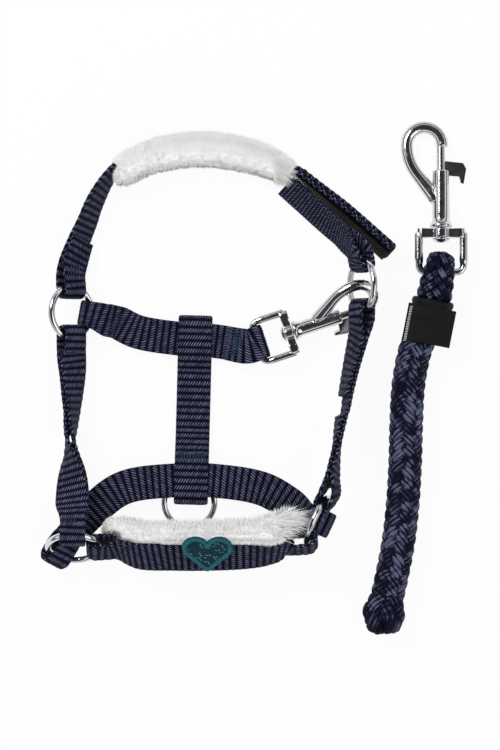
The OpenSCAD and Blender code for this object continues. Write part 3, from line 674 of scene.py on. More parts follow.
# Route of the rope on the table, from its fold to its knob, in millimetres
ROPE_Z = 8.02
ROPE_GAP = 0.1
ROPE_LEAD_IN = 8
FOLD_AT = np.array([101.453, 36.985, 9.25])
FOLD_FLAT = np.array([0.1908, 0.9816, 0.0])
FOLD_SIDE = np.cross(FOLD_FLAT, UP)
FOLD_BACK = 13
rope_start = FOLD_AT - FOLD_FLAT * (FOLD_BACK + ROPE_GAP)
ROPE_ROUTE = [
    rope_start[:2], (rope_start - FOLD_FLAT * ROPE_LEAD_IN)[:2],
    (91, 2), (87.5, -15), (86.5, -32), (86, -50), (85, -68), (83, -86), (80, -102), (78, -111)]
rope_known = (np.array([(x, y, ROPE_Z) for x, y in ROPE_ROUTE]) + HOME) * MM
rope_reach = lengths(rope_known)
rope_at = np.linspace(0, rope_reach[-1], int(rope_reach[-1] / BRAID_STEP))
rope_line = smooth_through(rope_reach, rope_known, rope_at)
rope_size = np.ones(len(rope_line))
rope = braided_piece("lead_braid", "lead_rope", rope_line, UP, rope_size, rope_size, 0.0, 31)

# Knob: the braid swells and closes over the rope's end, as distances from that end and radii
KNOB_PROFILE = np.array([
    (0.0, 8.0), (2.5, 8.3), (5.0, 9.3), (7.5, 10.0), (9.6, 10.0), (10.8, 9.2), (11.4, 6.4), (11.6, 2.0)])
KNOB_STEPS = 34
knob_way = unit(rope_known[-1] - rope_known[-2])
knob_at = np.linspace(ROPE_GAP, KNOB_PROFILE[-1, 0], KNOB_STEPS)
knob_r = smooth_through(KNOB_PROFILE[:, 0], KNOB_PROFILE[:, 1:], knob_at)[:, 0] * MM
knob_line = rope_known[-1] + knob_way * (knob_at * MM)[:, None]
knob_line[:, 2] += np.maximum(0, knob_r - ROPE_R)
knob_size = knob_r / ROPE_R
knob = braided_piece("lead_end_knob", "lead_knob", knob_line, UP, knob_size, knob_size, rope_reach[-1], 32)

# Fold: the rope is flattened where it turns round the eye's bar, and pinched there
FOLD_R = 5.75
FOLD_WIDE = 8.6
FOLD_HIGH = 3.5
PINCH_WIDE = 2.1
PINCH_HIGH = 0.5
PINCH_STEPS = 15
FOLD_STEPS = 62
FOLD_BRAID_START = 4 * MM
fold_turns = np.radians(np.linspace(-90, 90, 25))[:, None]
fold_end = FOLD_AT - FOLD_FLAT * FOLD_BACK
fold_known = np.concatenate([
    dense(np.array([fold_end, FOLD_AT]) - UP * FOLD_R, 1.0)[:-1],
    FOLD_AT + FOLD_R * (np.cos(fold_turns) * FOLD_FLAT + np.sin(fold_turns) * UP),
    dense(np.array([FOLD_AT, fold_end]) + UP * FOLD_R, 1.0)[1:],
])
fold_known = (fold_known + HOME) * MM
fold_reach = lengths(fold_known)
fold_line = smooth_through(fold_reach, fold_known, np.linspace(0, fold_reach[-1], FOLD_STEPS))
fold_up = np.cross(FOLD_SIDE[None], unit(np.gradient(fold_line, axis=0)))
pinch = np.exp(-(((np.arange(FOLD_STEPS) - (FOLD_STEPS - 1) / 2) / PINCH_STEPS) ** 2))
fold_wide = (FOLD_WIDE - PINCH_WIDE * pinch) * MM / ROPE_R
fold_high = (FOLD_HIGH - PINCH_HIGH * pinch) * MM / ROPE_R
rope_fold = braided_piece(
    "lead_fold", "lead_loop", fold_line, fold_up, fold_wide, fold_high, FOLD_BRAID_START, 33
)

# Metal: rings and springs keep their CAD meshes, and the snaps' castings are rounded copies of theirs
RINGS = ["upper_left_ring", "upper_right_ring", "lower_left_ring", "lower_right_ring", "chin_ring"]
SPRINGS = ["throat_snap_spring", "lead_snap_spring"]
for node in RINGS:
    dress(frame["nodes"][node], ring_look)
for node in SPRINGS:
    dress(frame["nodes"][node], spring_look)

# Each snap's size beside the lead's, and where along its barrel's line the bolt ends on the lead's snap
SNAP_SCALE = {"throat": 0.86, "lead": 1.0}
BOLT_TIP = 31.0
CLEAR_FADE = 1.6
TIP_FADE = 5.0
LOWEST_FADE = 2.5
SOFTEN_SHARE = 0.5
THIN_SHARE = 0.4
swivels = {joint["name"]: joint for joint in frame["joints"]}


def swell(made, snap, more, clear, lowest):
    """Thickens a casting where it is clear of its barrel's line or beyond the bolt's tip, in millimetres."""
    swivel = swivels[snap + "_hook_swivel"]
    scale = SNAP_SCALE[snap]
    points, normals = mesh_points(made)
    apart = (points - np.array(swivel["pos_m"])) / MM
    run = apart @ np.array(swivel["axis"])
    away = np.linalg.norm(apart - run[:, None] * np.array(swivel["axis"]), axis=1)
    beyond = ease((run / scale - BOLT_TIP) / TIP_FADE)
    share = np.maximum(ease((away / scale - clear) / CLEAR_FADE), beyond)
    share = share * ease((run / scale - lowest) / LOWEST_FADE)
    set_points(made, points + normals * (share * more * MM)[:, None])


def casting(snap, piece, body, voxel, rounds, swelling):
    node = snap + "_snap_" + piece
    made = closed_copy(node, node + "_casting")
    add_remesh(made, voxel)
    soften = made.modifiers.new("soften", "SMOOTH")
    soften.factor = SOFTEN_SHARE
    soften.iterations = rounds
    thin = made.modifiers.new("thin", "DECIMATE")
    thin.ratio = THIN_SHARE
    with_modifiers_applied(made)
    if swelling:
        swell(made, snap, *swelling)
    return finish_piece(shade_smooth(made), snap + "_" + body, snap_look, [node])


# Each casting's body, voxel, rounds of smoothing, and its swelling: how much, how far out and from where up
CASTINGS = [
    ("body", "hook", 0.2 * MM, 6, (0.62, 3.7, 4.5)),
    ("bolt", "bolt", 0.16 * MM, 4, None),
    ("eye", "eye", 0.2 * MM, 6, (0.3, 6.2, -17.0)),
    ("stud", "hook", 0.16 * MM, 3, None),
]
castings = {snap: [casting(snap, *row) for row in CASTINGS] for snap in ("throat", "lead")}

# Plush: a pad swelled by a short cloth run, under a flat nap and a longer fringe of fine tapering hairs
HAIR_SIDES = 3
HAIR_POINTS = 2 * HAIR_SIDES + 1
HAIR_R = 0.11 * MM
HAIR_CLEAR = 0.45 * MM
TABLE_CLEAR = 0.2 * MM
PAD_VOXEL = 1.6 * MM
PAD_PRESSURE = 4.0
PAD_FRAMES = 20
PAD_SHRINK = 0.6 * MM
PAD_CAP = 1.8 * MM
PAD_HELD = 1.0 * MM
PAD_FREES_OVER = 2.5 * MM
CLOTH_SCALE = 10


def swelled(pad, strap_tree):
    """Rounds a shrunk pad out by cloth with inner pressure, at ten times its size, but not at its strap."""
    add_remesh(pad, PAD_VOXEL)
    with_modifiers_applied(pad)
    points, normals = mesh_points(pad)
    points = points - PAD_SHRINK * normals
    set_points(pad, points * CLOTH_SCALE)
    cloth = pad.modifiers.new("cloth", "CLOTH")
    cloth.settings.use_pressure = True
    cloth.settings.uniform_pressure_force = PAD_PRESSURE
    cloth.settings.effector_weights.gravity = 0
    for step in range(1, PAD_FRAMES + 1):
        scene.frame_set(step)
    with_modifiers_applied(pad)
    scene.frame_set(1)
    moved = mesh_points(pad)[0] / CLOTH_SCALE - points
    far = np.linalg.norm(moved, axis=1, keepdims=True)
    apart = np.array([strap_tree.find_nearest(Vector(q))[3] for q in points])
    free = ease((apart - PAD_HELD) / PAD_FREES_OVER)[:, None]
    points = points + free * moved * np.minimum(1, PAD_CAP / np.maximum(far, 1e-9))
    set_points(pad, points)
    smooth = pad.modifiers.new("round", "SUBSURF")
    smooth.levels = 1
    return with_modifiers_applied(pad)


def pile(fur, roots, middles, tips, facing):
    """Tapering hairs with a flat upper side, each through a root, a middle and a tip."""
    count = len(roots)
    facing = unit(facing)
    side = HAIR_R * unit(np.cross(tips - roots, facing))
    around = (side, -0.6 * HAIR_R * facing, -side)
    points = np.empty((count, HAIR_POINTS, 3))
    for k in range(HAIR_SIDES):
        points[:, k] = roots + around[k]
        points[:, HAIR_SIDES + k] = middles + 0.8 * around[k]
    points[:, -1] = tips
    base = fur["count"] + np.arange(count)[:, None] * HAIR_POINTS
    for k in range(HAIR_SIDES):
        n = (k + 1) % HAIR_SIDES
        fur["faces"].extend(base + np.array([k, n, HAIR_SIDES + n, HAIR_SIDES + k]))
        fur["faces"].extend(base + np.array([HAIR_SIDES + k, HAIR_SIDES + n, 2 * HAIR_SIDES]))
    fur["faces"].extend(base + np.array([2, 1, 0]))
    fur["points"].append(points.reshape(-1, 3))
    fur["normals"].append(np.repeat(facing, HAIR_POINTS, axis=0))
    fur["count"] += count * HAIR_POINTS


def spread(pad, count, dice):
    """Points and surface directions spread evenly over a mesh."""
    pad.data.calc_loop_triangles()
    points = mesh_points(pad)[0]
    corners = points[np.array([list(t.vertices) for t in pad.data.loop_triangles])]
    cross = np.cross(corners[:, 1] - corners[:, 0], corners[:, 2] - corners[:, 0])
    area = np.linalg.norm(cross, axis=1)
    pick = dice.choice(len(corners), size=count, p=area / area.sum())
    share = np.sort(dice.random((count, 2)), axis=1)
    weights = np.stack([share[:, 0], share[:, 1] - share[:, 0], 1 - share[:, 1]], axis=1)
    return (corners[pick] * weights[..., None]).sum(1), unit(cross[pick])


def clear_pile(fur, tree, roots, middles, tips, facing):
    """Adds those hairs that keep off the strap and the table."""
    kept = []
    for root, tip in zip(roots, tips):
        way = tip - root
        hit = tree.ray_cast(Vector(root), Vector(way), float(np.linalg.norm(way)) * 1.2)
        off_strap = hit[0] is None and tree.find_nearest(Vector(tip))[3] > HAIR_CLEAR
        kept.append(off_strap and tip[2] > TABLE_CLEAR)
    kept = np.array(kept)
    pile(fur, roots[kept], middles[kept], tips[kept], facing[kept])


def short_nap(fur, pad, tree, lean, count, dice):
    """Short hairs all over a pad that lean one way."""
    roots, facing = spread(pad, count, dice)
    flow = lean - (facing @ lean)[:, None] * facing
    ways = unit(0.5 * facing + 1.2 * flow + 0.3 * dice.normal(size=roots.shape))
    tips = roots + ways * MM * dice.uniform(0.8, 1.5, (count, 1))
    middles = (roots + tips) / 2 + 0.12 * MM * facing
    shade = facing + 0.2 * UP + 0.3 * dice.normal(size=roots.shape)
    clear_pile(fur, tree, roots, middles, tips, shade)


def long_fringe(fur, pad, tree, rule, count, dice):
    """Longer hairs where a rule says that they grow, with the pull and the length that it gives."""
    roots, facing = spread(pad, count, dice)
    grows, pull, sizes = rule(roots / MM, facing)
    roots, facing = roots[grows], facing[grows]
    ways = unit(facing + pull[grows] + 0.22 * dice.normal(size=roots.shape))
    tips = roots + ways * (sizes[grows] * MM * dice.uniform(0.65, 1.1, len(roots)))[:, None]
    middles = 0.5 * (roots + tips) + 0.15 * (tips - roots) * UP
    shade = 0.6 * facing + 1.0 * UP + 0.25 * dice.normal(size=roots.shape)
    clear_pile(fur, tree, roots, middles, tips, shade)


# Fur over a strap's edge: how far behind the edge its roots are, and up to where it falls over it
EDGE_ROOTS = (1.2, 8.5)
EDGE_FALLS = 3.4
EDGE_MARGIN = 6
EDGE_CREST = 3.5 * MM


def over_edge(fur, pad_middle, strap_rows, span, count, reach, lift, dice):
    """Fur that rises beside the strap's upper edge and falls over it, between two places along X."""
    middles, halves = strap_rows
    halves = turned_to(halves, UP)
    run = lengths(middles)
    crest = (middles + halves)[:, 2]
    near = (middles[:, 0] > (span[0] - EDGE_MARGIN) * MM) & (middles[:, 0] < (span[1] + EDGE_MARGIN) * MM)
    near &= crest > crest[near].max() - EDGE_CREST
    order = np.argsort(middles[near, 0])
    known_x = middles[near, 0][order]
    wanted_x = dice.uniform(max(span[0] * MM, known_x[0]), min(span[1] * MM, known_x[-1]), count)
    wanted = np.interp(wanted_x, known_x, run[near][order])
    middle = smooth_through(run, middles, wanted)
    half = smooth_through(run, halves, wanted)
    along = unit(smooth_through(run, np.gradient(middles, axis=0), wanted))
    rise = unit(half)
    inner = np.cross(along, rise)
    inner *= np.sign(((pad_middle - middle) * inner).sum(1))[:, None]
    top = middle + half
    one_each = (count, 1)
    jitter = 0.5 * MM * dice.normal(size=one_each) * along
    back = dice.uniform(*EDGE_ROOTS, one_each)
    out = np.where(back < EDGE_FALLS, dice.uniform(*reach, one_each), 2.5 - back)
    sunk = np.interp(back, [1.2, 5.0, 8.5], [-0.6, -1.1, -2.0])
    roots = top + inner * MM * back + rise * MM * (sunk + dice.uniform(-0.3, 0.3, one_each))
    arch = lift * dice.uniform(0.5, 1.4, one_each) * np.interp(back, [1.2, 6.0, 8.5], [1.0, 0.2, -0.6])
    bend = top + inner * MM * (back - out) / 2 + rise * MM * arch + jitter
    tips = top - inner * MM * out + rise * MM * (arch * dice.uniform(0.2, 0.9, one_each)) + 2 * jitter
    facing = UP + 0.15 * rise - 0.03 * inner * (out + back) + 0.2 * dice.normal(size=(count, 3))
    pile(fur, roots, bend, tips, facing)


def plush(pad_name, strap, seed, lean, counts, fringe_rule, span, reach, lift, puff=None):
    """A pad with a short leaning nap, a longer fringe, and fur that falls over its strap's edge."""
    node = pad_name.replace("_pad", "_plush")
    dice = np.random.default_rng(seed)
    tree = tree_of(frame["nodes"][strap])
    pad = swelled(closed_copy(node, pad_name), tree)
    points, normals = mesh_points(pad)
    lumps = [noise.noise(Vector(q * 330.0)) * 0.4 + noise.noise(Vector(q * 900.0)) * 0.2 for q in points]
    lumped = points + normals * (np.array(lumps)[:, None] - 0.2) * MM
    if puff:
        lumped = lumped + puff(points / MM, normals) * MM
    set_points(pad, lumped)
    fur = new_store()
    fur["points"].append(lumped)
    fur["faces"] = [list(f.vertices) for f in pad.data.polygons]
    fur["count"] = len(lumped)
    fur["normals"] = [mesh_points(pad)[1]]
    short_nap(fur, pad, tree, np.array(lean), counts[0], dice)
    long_fringe(fur, pad, tree, fringe_rule, counts[1], dice)
    over_edge(fur, lumped.mean(0), strap_lines[strap], span, counts[2], reach, lift, dice)
    made = stored_object(pad_name + "_pile", fur)
    made.data.normals_split_custom_set_from_vertices(np.concatenate(fur["normals"]).tolist())
    bpy.data.objects.remove(pad)
    finish_piece(made, "halter", plush_look, [node])


def crown_fringe(places, facing):
    """Tufts at the two ends of the crown pad, along the strap."""
    left_end, right_end = -41, 25
    x = places[:, 0]
    endways = 0.85 * np.abs(facing[:, 0]) + 0.25 * np.abs(facing[:, 1])
    grows = ((x < left_end) & (endways > 0.45)) | ((x > right_end) & (endways > 0.2))
    pull = np.where(x[:, None] > 0, (0.9, -0.3, 0.6), (-0.4, 0.0, 0.35))
    return grows, pull, np.interp(x, [left_end, right_end, 31], [2.4, 3.4, 6.6])


def nose_fringe(places, facing):
    """A fringe on the inner side of the nose pad, with a long fanned tuft at its right end."""
    x = places[:, 0]
    left, right = x < -47, x > 27
    pull = np.tile([0.05, 0.5, 0.45], (len(x), 1))
    pull[right] += (0.45, 0.0, 0.2)
    pull[left] = (-0.3, 0.1, 0.5)
    sizes = np.interp(x, [-52, -44, -34, 20, 27, 34], [1.7, 1.9, 3.0, 3.0, 3.8, 5.4])
    tuft = (x > 25.5) & (facing[:, 2] > 0.05) & (places[:, 2] > 18)
    fan = np.modf(np.abs(np.sin(places @ np.array([129.9, 782.3, 377.2]))) * 437.5)[0]
    pull[tuft] = np.stack(np.broadcast_arrays(3.0, 2.9 * fan - 2.3, 0.7), axis=1)[tuft]
    sizes = np.where(tuft, 7.0 + 5.0 * np.modf(fan * 13.7)[0], sizes)
    return (facing[:, 1] > 0.3) | right | left, pull, sizes


def nose_puff(places, facing):
    """The middle of the nose pad's inner side stands out further."""
    middle = np.interp(places[:, 0], [-46, -38, 18, 26], [0, 1, 1, 0])
    side = ease(facing[:, 1] / 0.6) * ease((places[:, 2] - 11) / 5)
    return (1.7 * middle * side)[:, None] * np.array([0, 1.0, 0.15])


plush(
    "crown_pad", "crown_strap", 41, lean=(0.15, 0.25, 0.15), counts=(12000, 20000, 11000),
    fringe_rule=crown_fringe, span=(-46.0, 34.6), reach=(1.6, 3.1), lift=1.1,
)
plush(
    "nose_pad", "nose_strap", 42, lean=(0.12, 0.45, 0.25), counts=(12000, 15000, 7000),
    fringe_rule=nose_fringe, span=(-47.5, 34.0), reach=(0.1, 1.6), lift=0.8, puff=nose_puff,
)

# Closure tapes: a black strip with rows of small hooks, and a strip of soft loops facing it, in millimetres
TAPE_HALF_THICK = 0.55
TAPE_BASE = 0.5
TAPE_SINK = 0.05
TAPE_STEP = 1.0
TAPE_FILLED = 0.92
TAPE_THREAD_SIDES = 4
# Values on the yarn's colour ramp: the strip under the hooks or loops sits low, as painted shade, and the
# hooks and loops sit higher.
STRIP_SHADE_CROWN = 0.2
HOOK_STEP = 1.3
HOOK_ROWS = 9
HOOK_R = 0.09
HOOK_MARGIN = 0.8
HOOK_CROWN = 0.8
HOOK_SHAPE = [(0.0, -0.1), (0.0, 0.25), (0.08, 0.42), (0.24, 0.5), (0.38, 0.44), (0.43, 0.3)]
LOOPS = 900
LOOP_R = 0.06
LOOP_SINK = 0.1
LOOP_CROWN = 0.6
# The loop tape is thicker at its start, where it closes the gap beside the plush
START_EXTRA = 0.55
START_LENGTH = 6.0
START_FADE = 9.0


def tape_lines(node, near, facing):
    length, middle, half = resample(*strap_line(node, near), TAPE_STEP * MM)
    along, half, face = flat_directions(middle, half)
    return length / MM, middle, half, along, turned_to(face, facing)


def tape_store(middle, half, face, extra):
    """A store with the flat strip under the hooks or loops, thicker by extra at each of its rings."""
    store = new_store()
    across = np.array([1, 0.5, 0, -0.5, -1])
    wide = np.concatenate([across, across[::-1]])[None, :, None] * half[:, None]
    upper = np.array([1.0] * 5 + [0.0] * 5)
    lift = (TAPE_SINK - TAPE_HALF_THICK + upper[None] * (TAPE_BASE + extra[:, None])) * MM
    add_tube(store, middle[:, None] + wide + lift[..., None] * face[:, None])
    return store, store["count"]


def finish_tape(node, store, base_count, crown, body, look):
    strip = outward(stored_object(node + "_strip", store))
    crowns = np.full(store["count"], crown)
    # The strip under the hooks or loops takes painted shade.
    crowns[:base_count] = STRIP_SHADE_CROWN
    set_crowns(strip, crowns)
    finish_piece(strip, body, look, [node])


length, middle, half, along, face = tape_lines("hook_tape", (37, 82, 8), INWARD)
store, base_count = tape_store(middle, half, face, np.zeros(len(middle)))
for spot in np.arange(HOOK_MARGIN, length[-1] - HOOK_MARGIN, HOOK_STEP):
    at = np.array([np.interp(spot, length, middle[:, k]) for k in range(3)])
    i = min(int(round(spot)), len(middle) - 1)
    for row in range(HOOK_ROWS):
        share = TAPE_FILLED * (2 * (row + 0.5) / HOOK_ROWS - 1)
        way = 1 if row % 2 else -1
        hook = [way * a * along[i] + (b - TAPE_SINK) * face[i] for a, b in HOOK_SHAPE]
        add_thread(store, at + share * half[i] + np.array(hook) * MM, HOOK_R * MM, TAPE_THREAD_SIDES)
finish_tape("hook_tape", store, base_count, HOOK_CROWN, "closure", hook_look)

length, middle, half, along, face = tape_lines("loop_tape", (33, 75, 8), -INWARD)
extra = START_EXTRA * (1 - ease((length - START_LENGTH) / START_FADE))
store, base_count = tape_store(middle, half, face, extra)
loop_dice = np.random.default_rng(61)
arc = np.linspace(0, np.pi, 7)[:, None]
for _ in range(LOOPS):
    i = loop_dice.integers(1, len(middle) - 1)
    root = middle[i] + TAPE_FILLED * (2 * loop_dice.random() - 1) * half[i]
    root = root + (loop_dice.random() - 0.5) * MM * along[i]
    turn = loop_dice.random() * 2 * np.pi
    way = math.cos(turn) * along[i] + math.sin(turn) * unit(half[i])
    wide = 0.3 + 0.25 * loop_dice.random()
    high = 0.35 + 0.2 * loop_dice.random() + extra[i]
    loop = np.cos(arc) * wide * way + (np.sin(arc) * high - LOOP_SINK) * face[i]
    add_thread(store, root + loop * MM, LOOP_R * MM, TAPE_THREAD_SIDES)
finish_tape("loop_tape", store, base_count, LOOP_CROWN, "halter", stitch_look)

# Bar tacks: zigzags of bluish thread sewn where the straps are doubled
TACK_R = 0.21 * MM
TACK_SIDES = 5
TACK_POINTS = 8
TACK_LIFT = 0.1 * MM
TACK_STEEPEST = 0.9 * MM
ABOVE_ALL = 0.08


def bar_tack(store, piece, middle, turn, wide, deep, strokes):
    """A zigzag on top of a strap, wide along a direction and deep across it, in millimetres."""
    tree = tree_of(bpy.data.objects[piece])
    steps = np.arange(strokes + 1)
    runs = wide * (steps / strokes - 0.5)
    corners = placed(np.array([*middle, 0.0]), turned_axes(turn), runs, deep * (steps % 2 - 0.5), 0.0)
    for a, b in zip(corners[:-1], corners[1:]):
        line = []
        for t in np.linspace(0, 1, TACK_POINTS):
            x, y, _ = a + (b - a) * t
            spot, normal, _, _ = tree.ray_cast(Vector((x, y, ABOVE_ALL)), Vector((0, 0, -1)))
            if spot is not None:
                line.append(np.array(spot + normal * TACK_LIFT))
        line = np.array(line)
        if len(line) == TACK_POINTS and np.abs(np.diff(line[:, 2])).max() < TACK_STEEPEST:
            add_thread(store, line, TACK_R, TACK_SIDES)


# Each tack's strap, middle, turn, width, depth and strokes
BAR_TACKS = [
    ("throat_webbing", (8.0, 5.1), 80, 12.0, 5.6, 18),
    ("throat_webbing", (-47.5, 12.6), 66, 12.5, 3.0, 18),
    ("connecting_webbing", (-12.2, -46.3), -1.5, 12.0, 3.2, 18),
    ("crown_webbing", (-63.6, 37.5), -8, 8.5, 4.6, 14),
    ("left_cheek_webbing", (-68.5, 0.5), 0, 9.0, 3.0, 12),
    ("left_cheek_webbing", (-69.0, -76.0), -5, 10.0, 3.0, 14),
    ("nose_webbing", (-43.0, -90.6), 85, 9.5, 5.6, 14),
    ("nose_webbing", (35.0, -88.4), 95, 8.5, 5.0, 14),
]
tack_store = new_store()
for tack in BAR_TACKS:
    bar_tack(tack_store, *tack)
bar_tacks = stored_object("bar_tacks", tack_store)
set_crowns(bar_tacks, 0.35 + 0.6 * np.random.default_rng(71).random(tack_store["count"]))
finish_piece(bar_tacks, "halter", stitch_look)

# Heart patch: a satin-stitched border round a filled middle, both on the noseband's slope, in millimetres
HEART_TILT = math.atan2(0.6, 0.8)
HEART_UP = np.array([0.0, math.cos(HEART_TILT), math.sin(HEART_TILT)])
HEART_OUT = np.array([0.0, -math.sin(HEART_TILT), math.cos(HEART_TILT)])
HEART_AXES = (np.array([1.0, 0.0, 0.0]), HEART_UP, HEART_OUT)
HEART_BASE = 1.35
HEART_AT = np.array([-4.0, -90.2, 29.1]) + HOME + HEART_BASE * HEART_OUT
HEART_W = 23.0
HEART_R = 6.21
HEART_FURTHEST = 14.0
HEART_TURNS = 1200
HEART_ROUNDINGS = 12
BORDER_W = 2.4
BORDER_H = 1.65
STITCHES = 150
BORDER_STEPS = 600
BORDER_ACROSS = 9


def heart_turns(count):
    return np.linspace(-np.pi / 2, 1.5 * np.pi, count, endpoint=False)


def heart_reach(angles, inset):
    """Distance from the heart's middle to its outline, two lobes and a point, in each direction."""
    out = np.zeros(len(angles))
    r = HEART_R - inset
    reach = HEART_W / 2 - HEART_R
    level = HEART_R * 0.55
    low = HEART_W * 0.46 - inset * 1.25
    right = [(0, -low), (reach + r * 0.77, level - r * 0.64), (reach, level + r * 0.3)]
    corners = right + [(0, HEART_R * 0.75 - inset * 0.6)] + [(-x, y) for x, y in right[:0:-1]]
    far = np.linspace(0, HEART_FURTHEST, 1401)
    for i, angle in enumerate(angles):
        x, y = far * math.cos(angle), far * math.sin(angle)
        inside = (np.abs(x) - reach) ** 2 + (y - level) ** 2 < r * r
        crossed = np.zeros(len(far), bool)
        for (x1, y1), (x2, y2) in zip(corners, corners[1:] + corners[:1]):
            if y1 != y2:
                hit = (y1 > y) != (y2 > y)
                crossed ^= hit & (x < (x2 - x1) * (y - y1) / (y2 - y1) + x1)
        out[i] = far[np.nonzero(inside | crossed)[0].max()]
    return out


def even_heart(inset, count):
    """Points at even steps round the heart's outline, a little rounded at its corners."""
    angles = heart_turns(HEART_TURNS)
    r = heart_reach(angles, inset)
    loop = np.stack([r * np.cos(angles), r * np.sin(angles)], axis=1)
    loop = np.concatenate([loop, loop[:1]])
    run = lengths(loop)
    wanted = np.linspace(0, run[-1], count, endpoint=False)
    even = np.stack([np.interp(wanted, run, loop[:, k]) for k in (0, 1)], axis=1)
    for _ in range(HEART_ROUNDINGS):
        even = 0.5 * even + 0.25 * (np.roll(even, 1, 0) + np.roll(even, -1, 0))
    return even


border_mid = even_heart(BORDER_W / 2, BORDER_STEPS)
border_way = unit(np.roll(border_mid, -1, 0) - np.roll(border_mid, 1, 0))
border_out = np.stack([border_way[:, 1], -border_way[:, 0]], axis=1)
stitch_turn = np.arange(BORDER_STEPS) * STITCHES / BORDER_STEPS
stitch_sizes = np.random.default_rng(51).normal(size=STITCHES + 1)
stitch_size = 1 + 0.06 * stitch_sizes[np.floor(stitch_turn).astype(int)]
stitch_round = np.sqrt(np.abs(np.sin(np.pi * stitch_turn)))
border_reach = BORDER_W / 2 * (0.97 + 0.07 * stitch_round) * stitch_size
border_lift = BORDER_H * (0.84 + 0.16 * stitch_round) * stitch_size
arch = np.linspace(0, np.pi, BORDER_ACROSS)
border_across = np.concatenate([np.cos(arch), [-0.5, 0.0, 0.5]])
border_rise = np.concatenate([np.sin(arch) ** 0.75, np.zeros(3)])
lateral = border_reach[:, None] * border_across[None]
border_rings = placed(
    HEART_AT, HEART_AXES,
    border_mid[:, :1] + lateral * border_out[:, :1],
    border_mid[:, 1:] + lateral * border_out[:, 1:],
    border_lift[:, None] * border_rise[None],
)
border_corners = np.arange(border_rings.size // 3).reshape(border_rings.shape[:2])
border_faces = ring_faces(border_corners, np.roll(border_corners, -1, axis=0))
heart_border = new_object("heart_satin_border", border_rings.reshape(-1, 3), border_faces)
# Painted light on the satin border: a painted highlight along the top of its arch and the middle of each
# stitch, with painted shade down its sides and between stitches.
set_crowns(heart_border, stitch_round[:, None] * (0.35 + 0.65 * np.maximum(border_rise, 0))[None])
finish_piece(heart_border, "halter", satin_look, ["heart_border"])

# Heart fill: slanting rows of short stitches with painted highlights on their crests, painted shade between
# them and brighter painted glints in random cells, in millimetres
FILL_H = 1.1
FILL_UNDER = 0.15
FILL_TURNS = 180
FILL_RINGS = 44
ROW_SLANT = (0.5, 0.87)
ROW_PITCH = 0.75
ROW_H = 0.16
STITCH_LENGTH = 2.2
EDGE_DROP = 0.25
GLINT_FROM = 0.66
TONE_CELLS = 80
fill_angles = heart_turns(FILL_TURNS)
fill_edge = heart_reach(fill_angles, BORDER_W - FILL_UNDER)
fill_share = np.linspace(0.02, 1, FILL_RINGS)[:, None]
fill_x = fill_share * (fill_edge * np.cos(fill_angles))[None]
fill_y = fill_share * (fill_edge * np.sin(fill_angles))[None]
row = (fill_x * ROW_SLANT[0] + fill_y * ROW_SLANT[1]) / ROW_PITCH
column = (fill_x * ROW_SLANT[1] - fill_y * ROW_SLANT[0]) / STITCH_LENGTH + 0.5 * (np.floor(row) % 2)
ridge = np.abs(np.sin(np.pi * row))
brick = np.abs(np.sin(np.pi * column))
fill_z = FILL_H + ROW_H * ridge * (0.5 + 0.5 * brick) - EDGE_DROP * fill_share**6
fill_top = placed(HEART_AT, HEART_AXES, fill_x, fill_y, fill_z).reshape(-1, 3)
fill_base = placed(HEART_AT, HEART_AXES, fill_x[-1], fill_y[-1], 0.0)
fill_centres = placed(HEART_AT, HEART_AXES, 0.0, 0.0, np.array([FILL_H, 0.0]))
corners = np.arange((FILL_RINGS + 1) * FILL_TURNS).reshape(-1, FILL_TURNS)
turned = np.roll(corners, -1, axis=1)
fill_faces = [(corners.size, a, b) for a, b in zip(corners[0], turned[0])]
fill_faces.extend(np.stack([corners[:-1], corners[1:], turned[1:], turned[:-1]], -1).reshape(-1, 4))
fill_faces.extend((corners.size + 1, b, a) for a, b in zip(corners[-1], turned[-1]))
fill_points = np.concatenate([fill_top, fill_base, fill_centres])
heart_fill = new_object("heart_stitched_fill", fill_points, fill_faces)
cells = [np.floor(way).astype(int) + TONE_CELLS // 2 for way in (row, column)]
painted_glint = np.random.default_rng(52).random((TONE_CELLS, TONE_CELLS))[cells[0], cells[1]] > GLINT_FROM
# Painted light: the stitches' crests take a painted highlight and the furrows take painted shade, at full
# strength in the glint cells and at half strength elsewhere.
fill_crown = ridge * brick * np.where(painted_glint, 1.0, 0.5)
set_crowns(heart_fill, np.concatenate([fill_crown.ravel(), np.zeros(FILL_TURNS + 2)]))
finish_piece(heart_fill, "halter", fill_look, ["heart_patch"])

# Label: a black woven strip round the rope and a bare flag below it, with one row of pale edge stitches
LABEL_BACK = 0.4
LABEL_W = 22.0
LABEL_H = 17.0
LABEL_DROP = 3.6
LABEL_THICK = 0.7
LABEL_R = 9.2
STRIP_WIDE = 8.0
LABEL_AXES = (-FOLD_FLAT, -FOLD_SIDE, UP)
label_at = np.array([*rope_start[:2], ROPE_Z]) + HOME - FOLD_FLAT * LABEL_BACK


def cloth_shell(name, top_points, set_back):
    """A closed sheet: a grid of points and the same grid set back."""
    rows, columns = top_points.shape[:2]
    count = rows * columns
    points = np.concatenate([top_points.reshape(-1, 3), (top_points + set_back).reshape(-1, 3)])
    grid = np.arange(count).reshape(rows, columns)
    top = np.stack([grid[:-1, :-1], grid[:-1, 1:], grid[1:, 1:], grid[1:, :-1]], -1).reshape(-1, 4)
    under = count + top[:, [0, 3, 2, 1]]
    edge = np.concatenate([grid[0], grid[1:, -1], grid[-1, -2::-1], grid[-2:0:-1, 0]])
    next_edge = np.roll(edge, -1)
    wall = np.stack([edge, count + edge, count + next_edge, next_edge], -1)
    return outward(new_object(name, points, [*top, *under, *wall]))


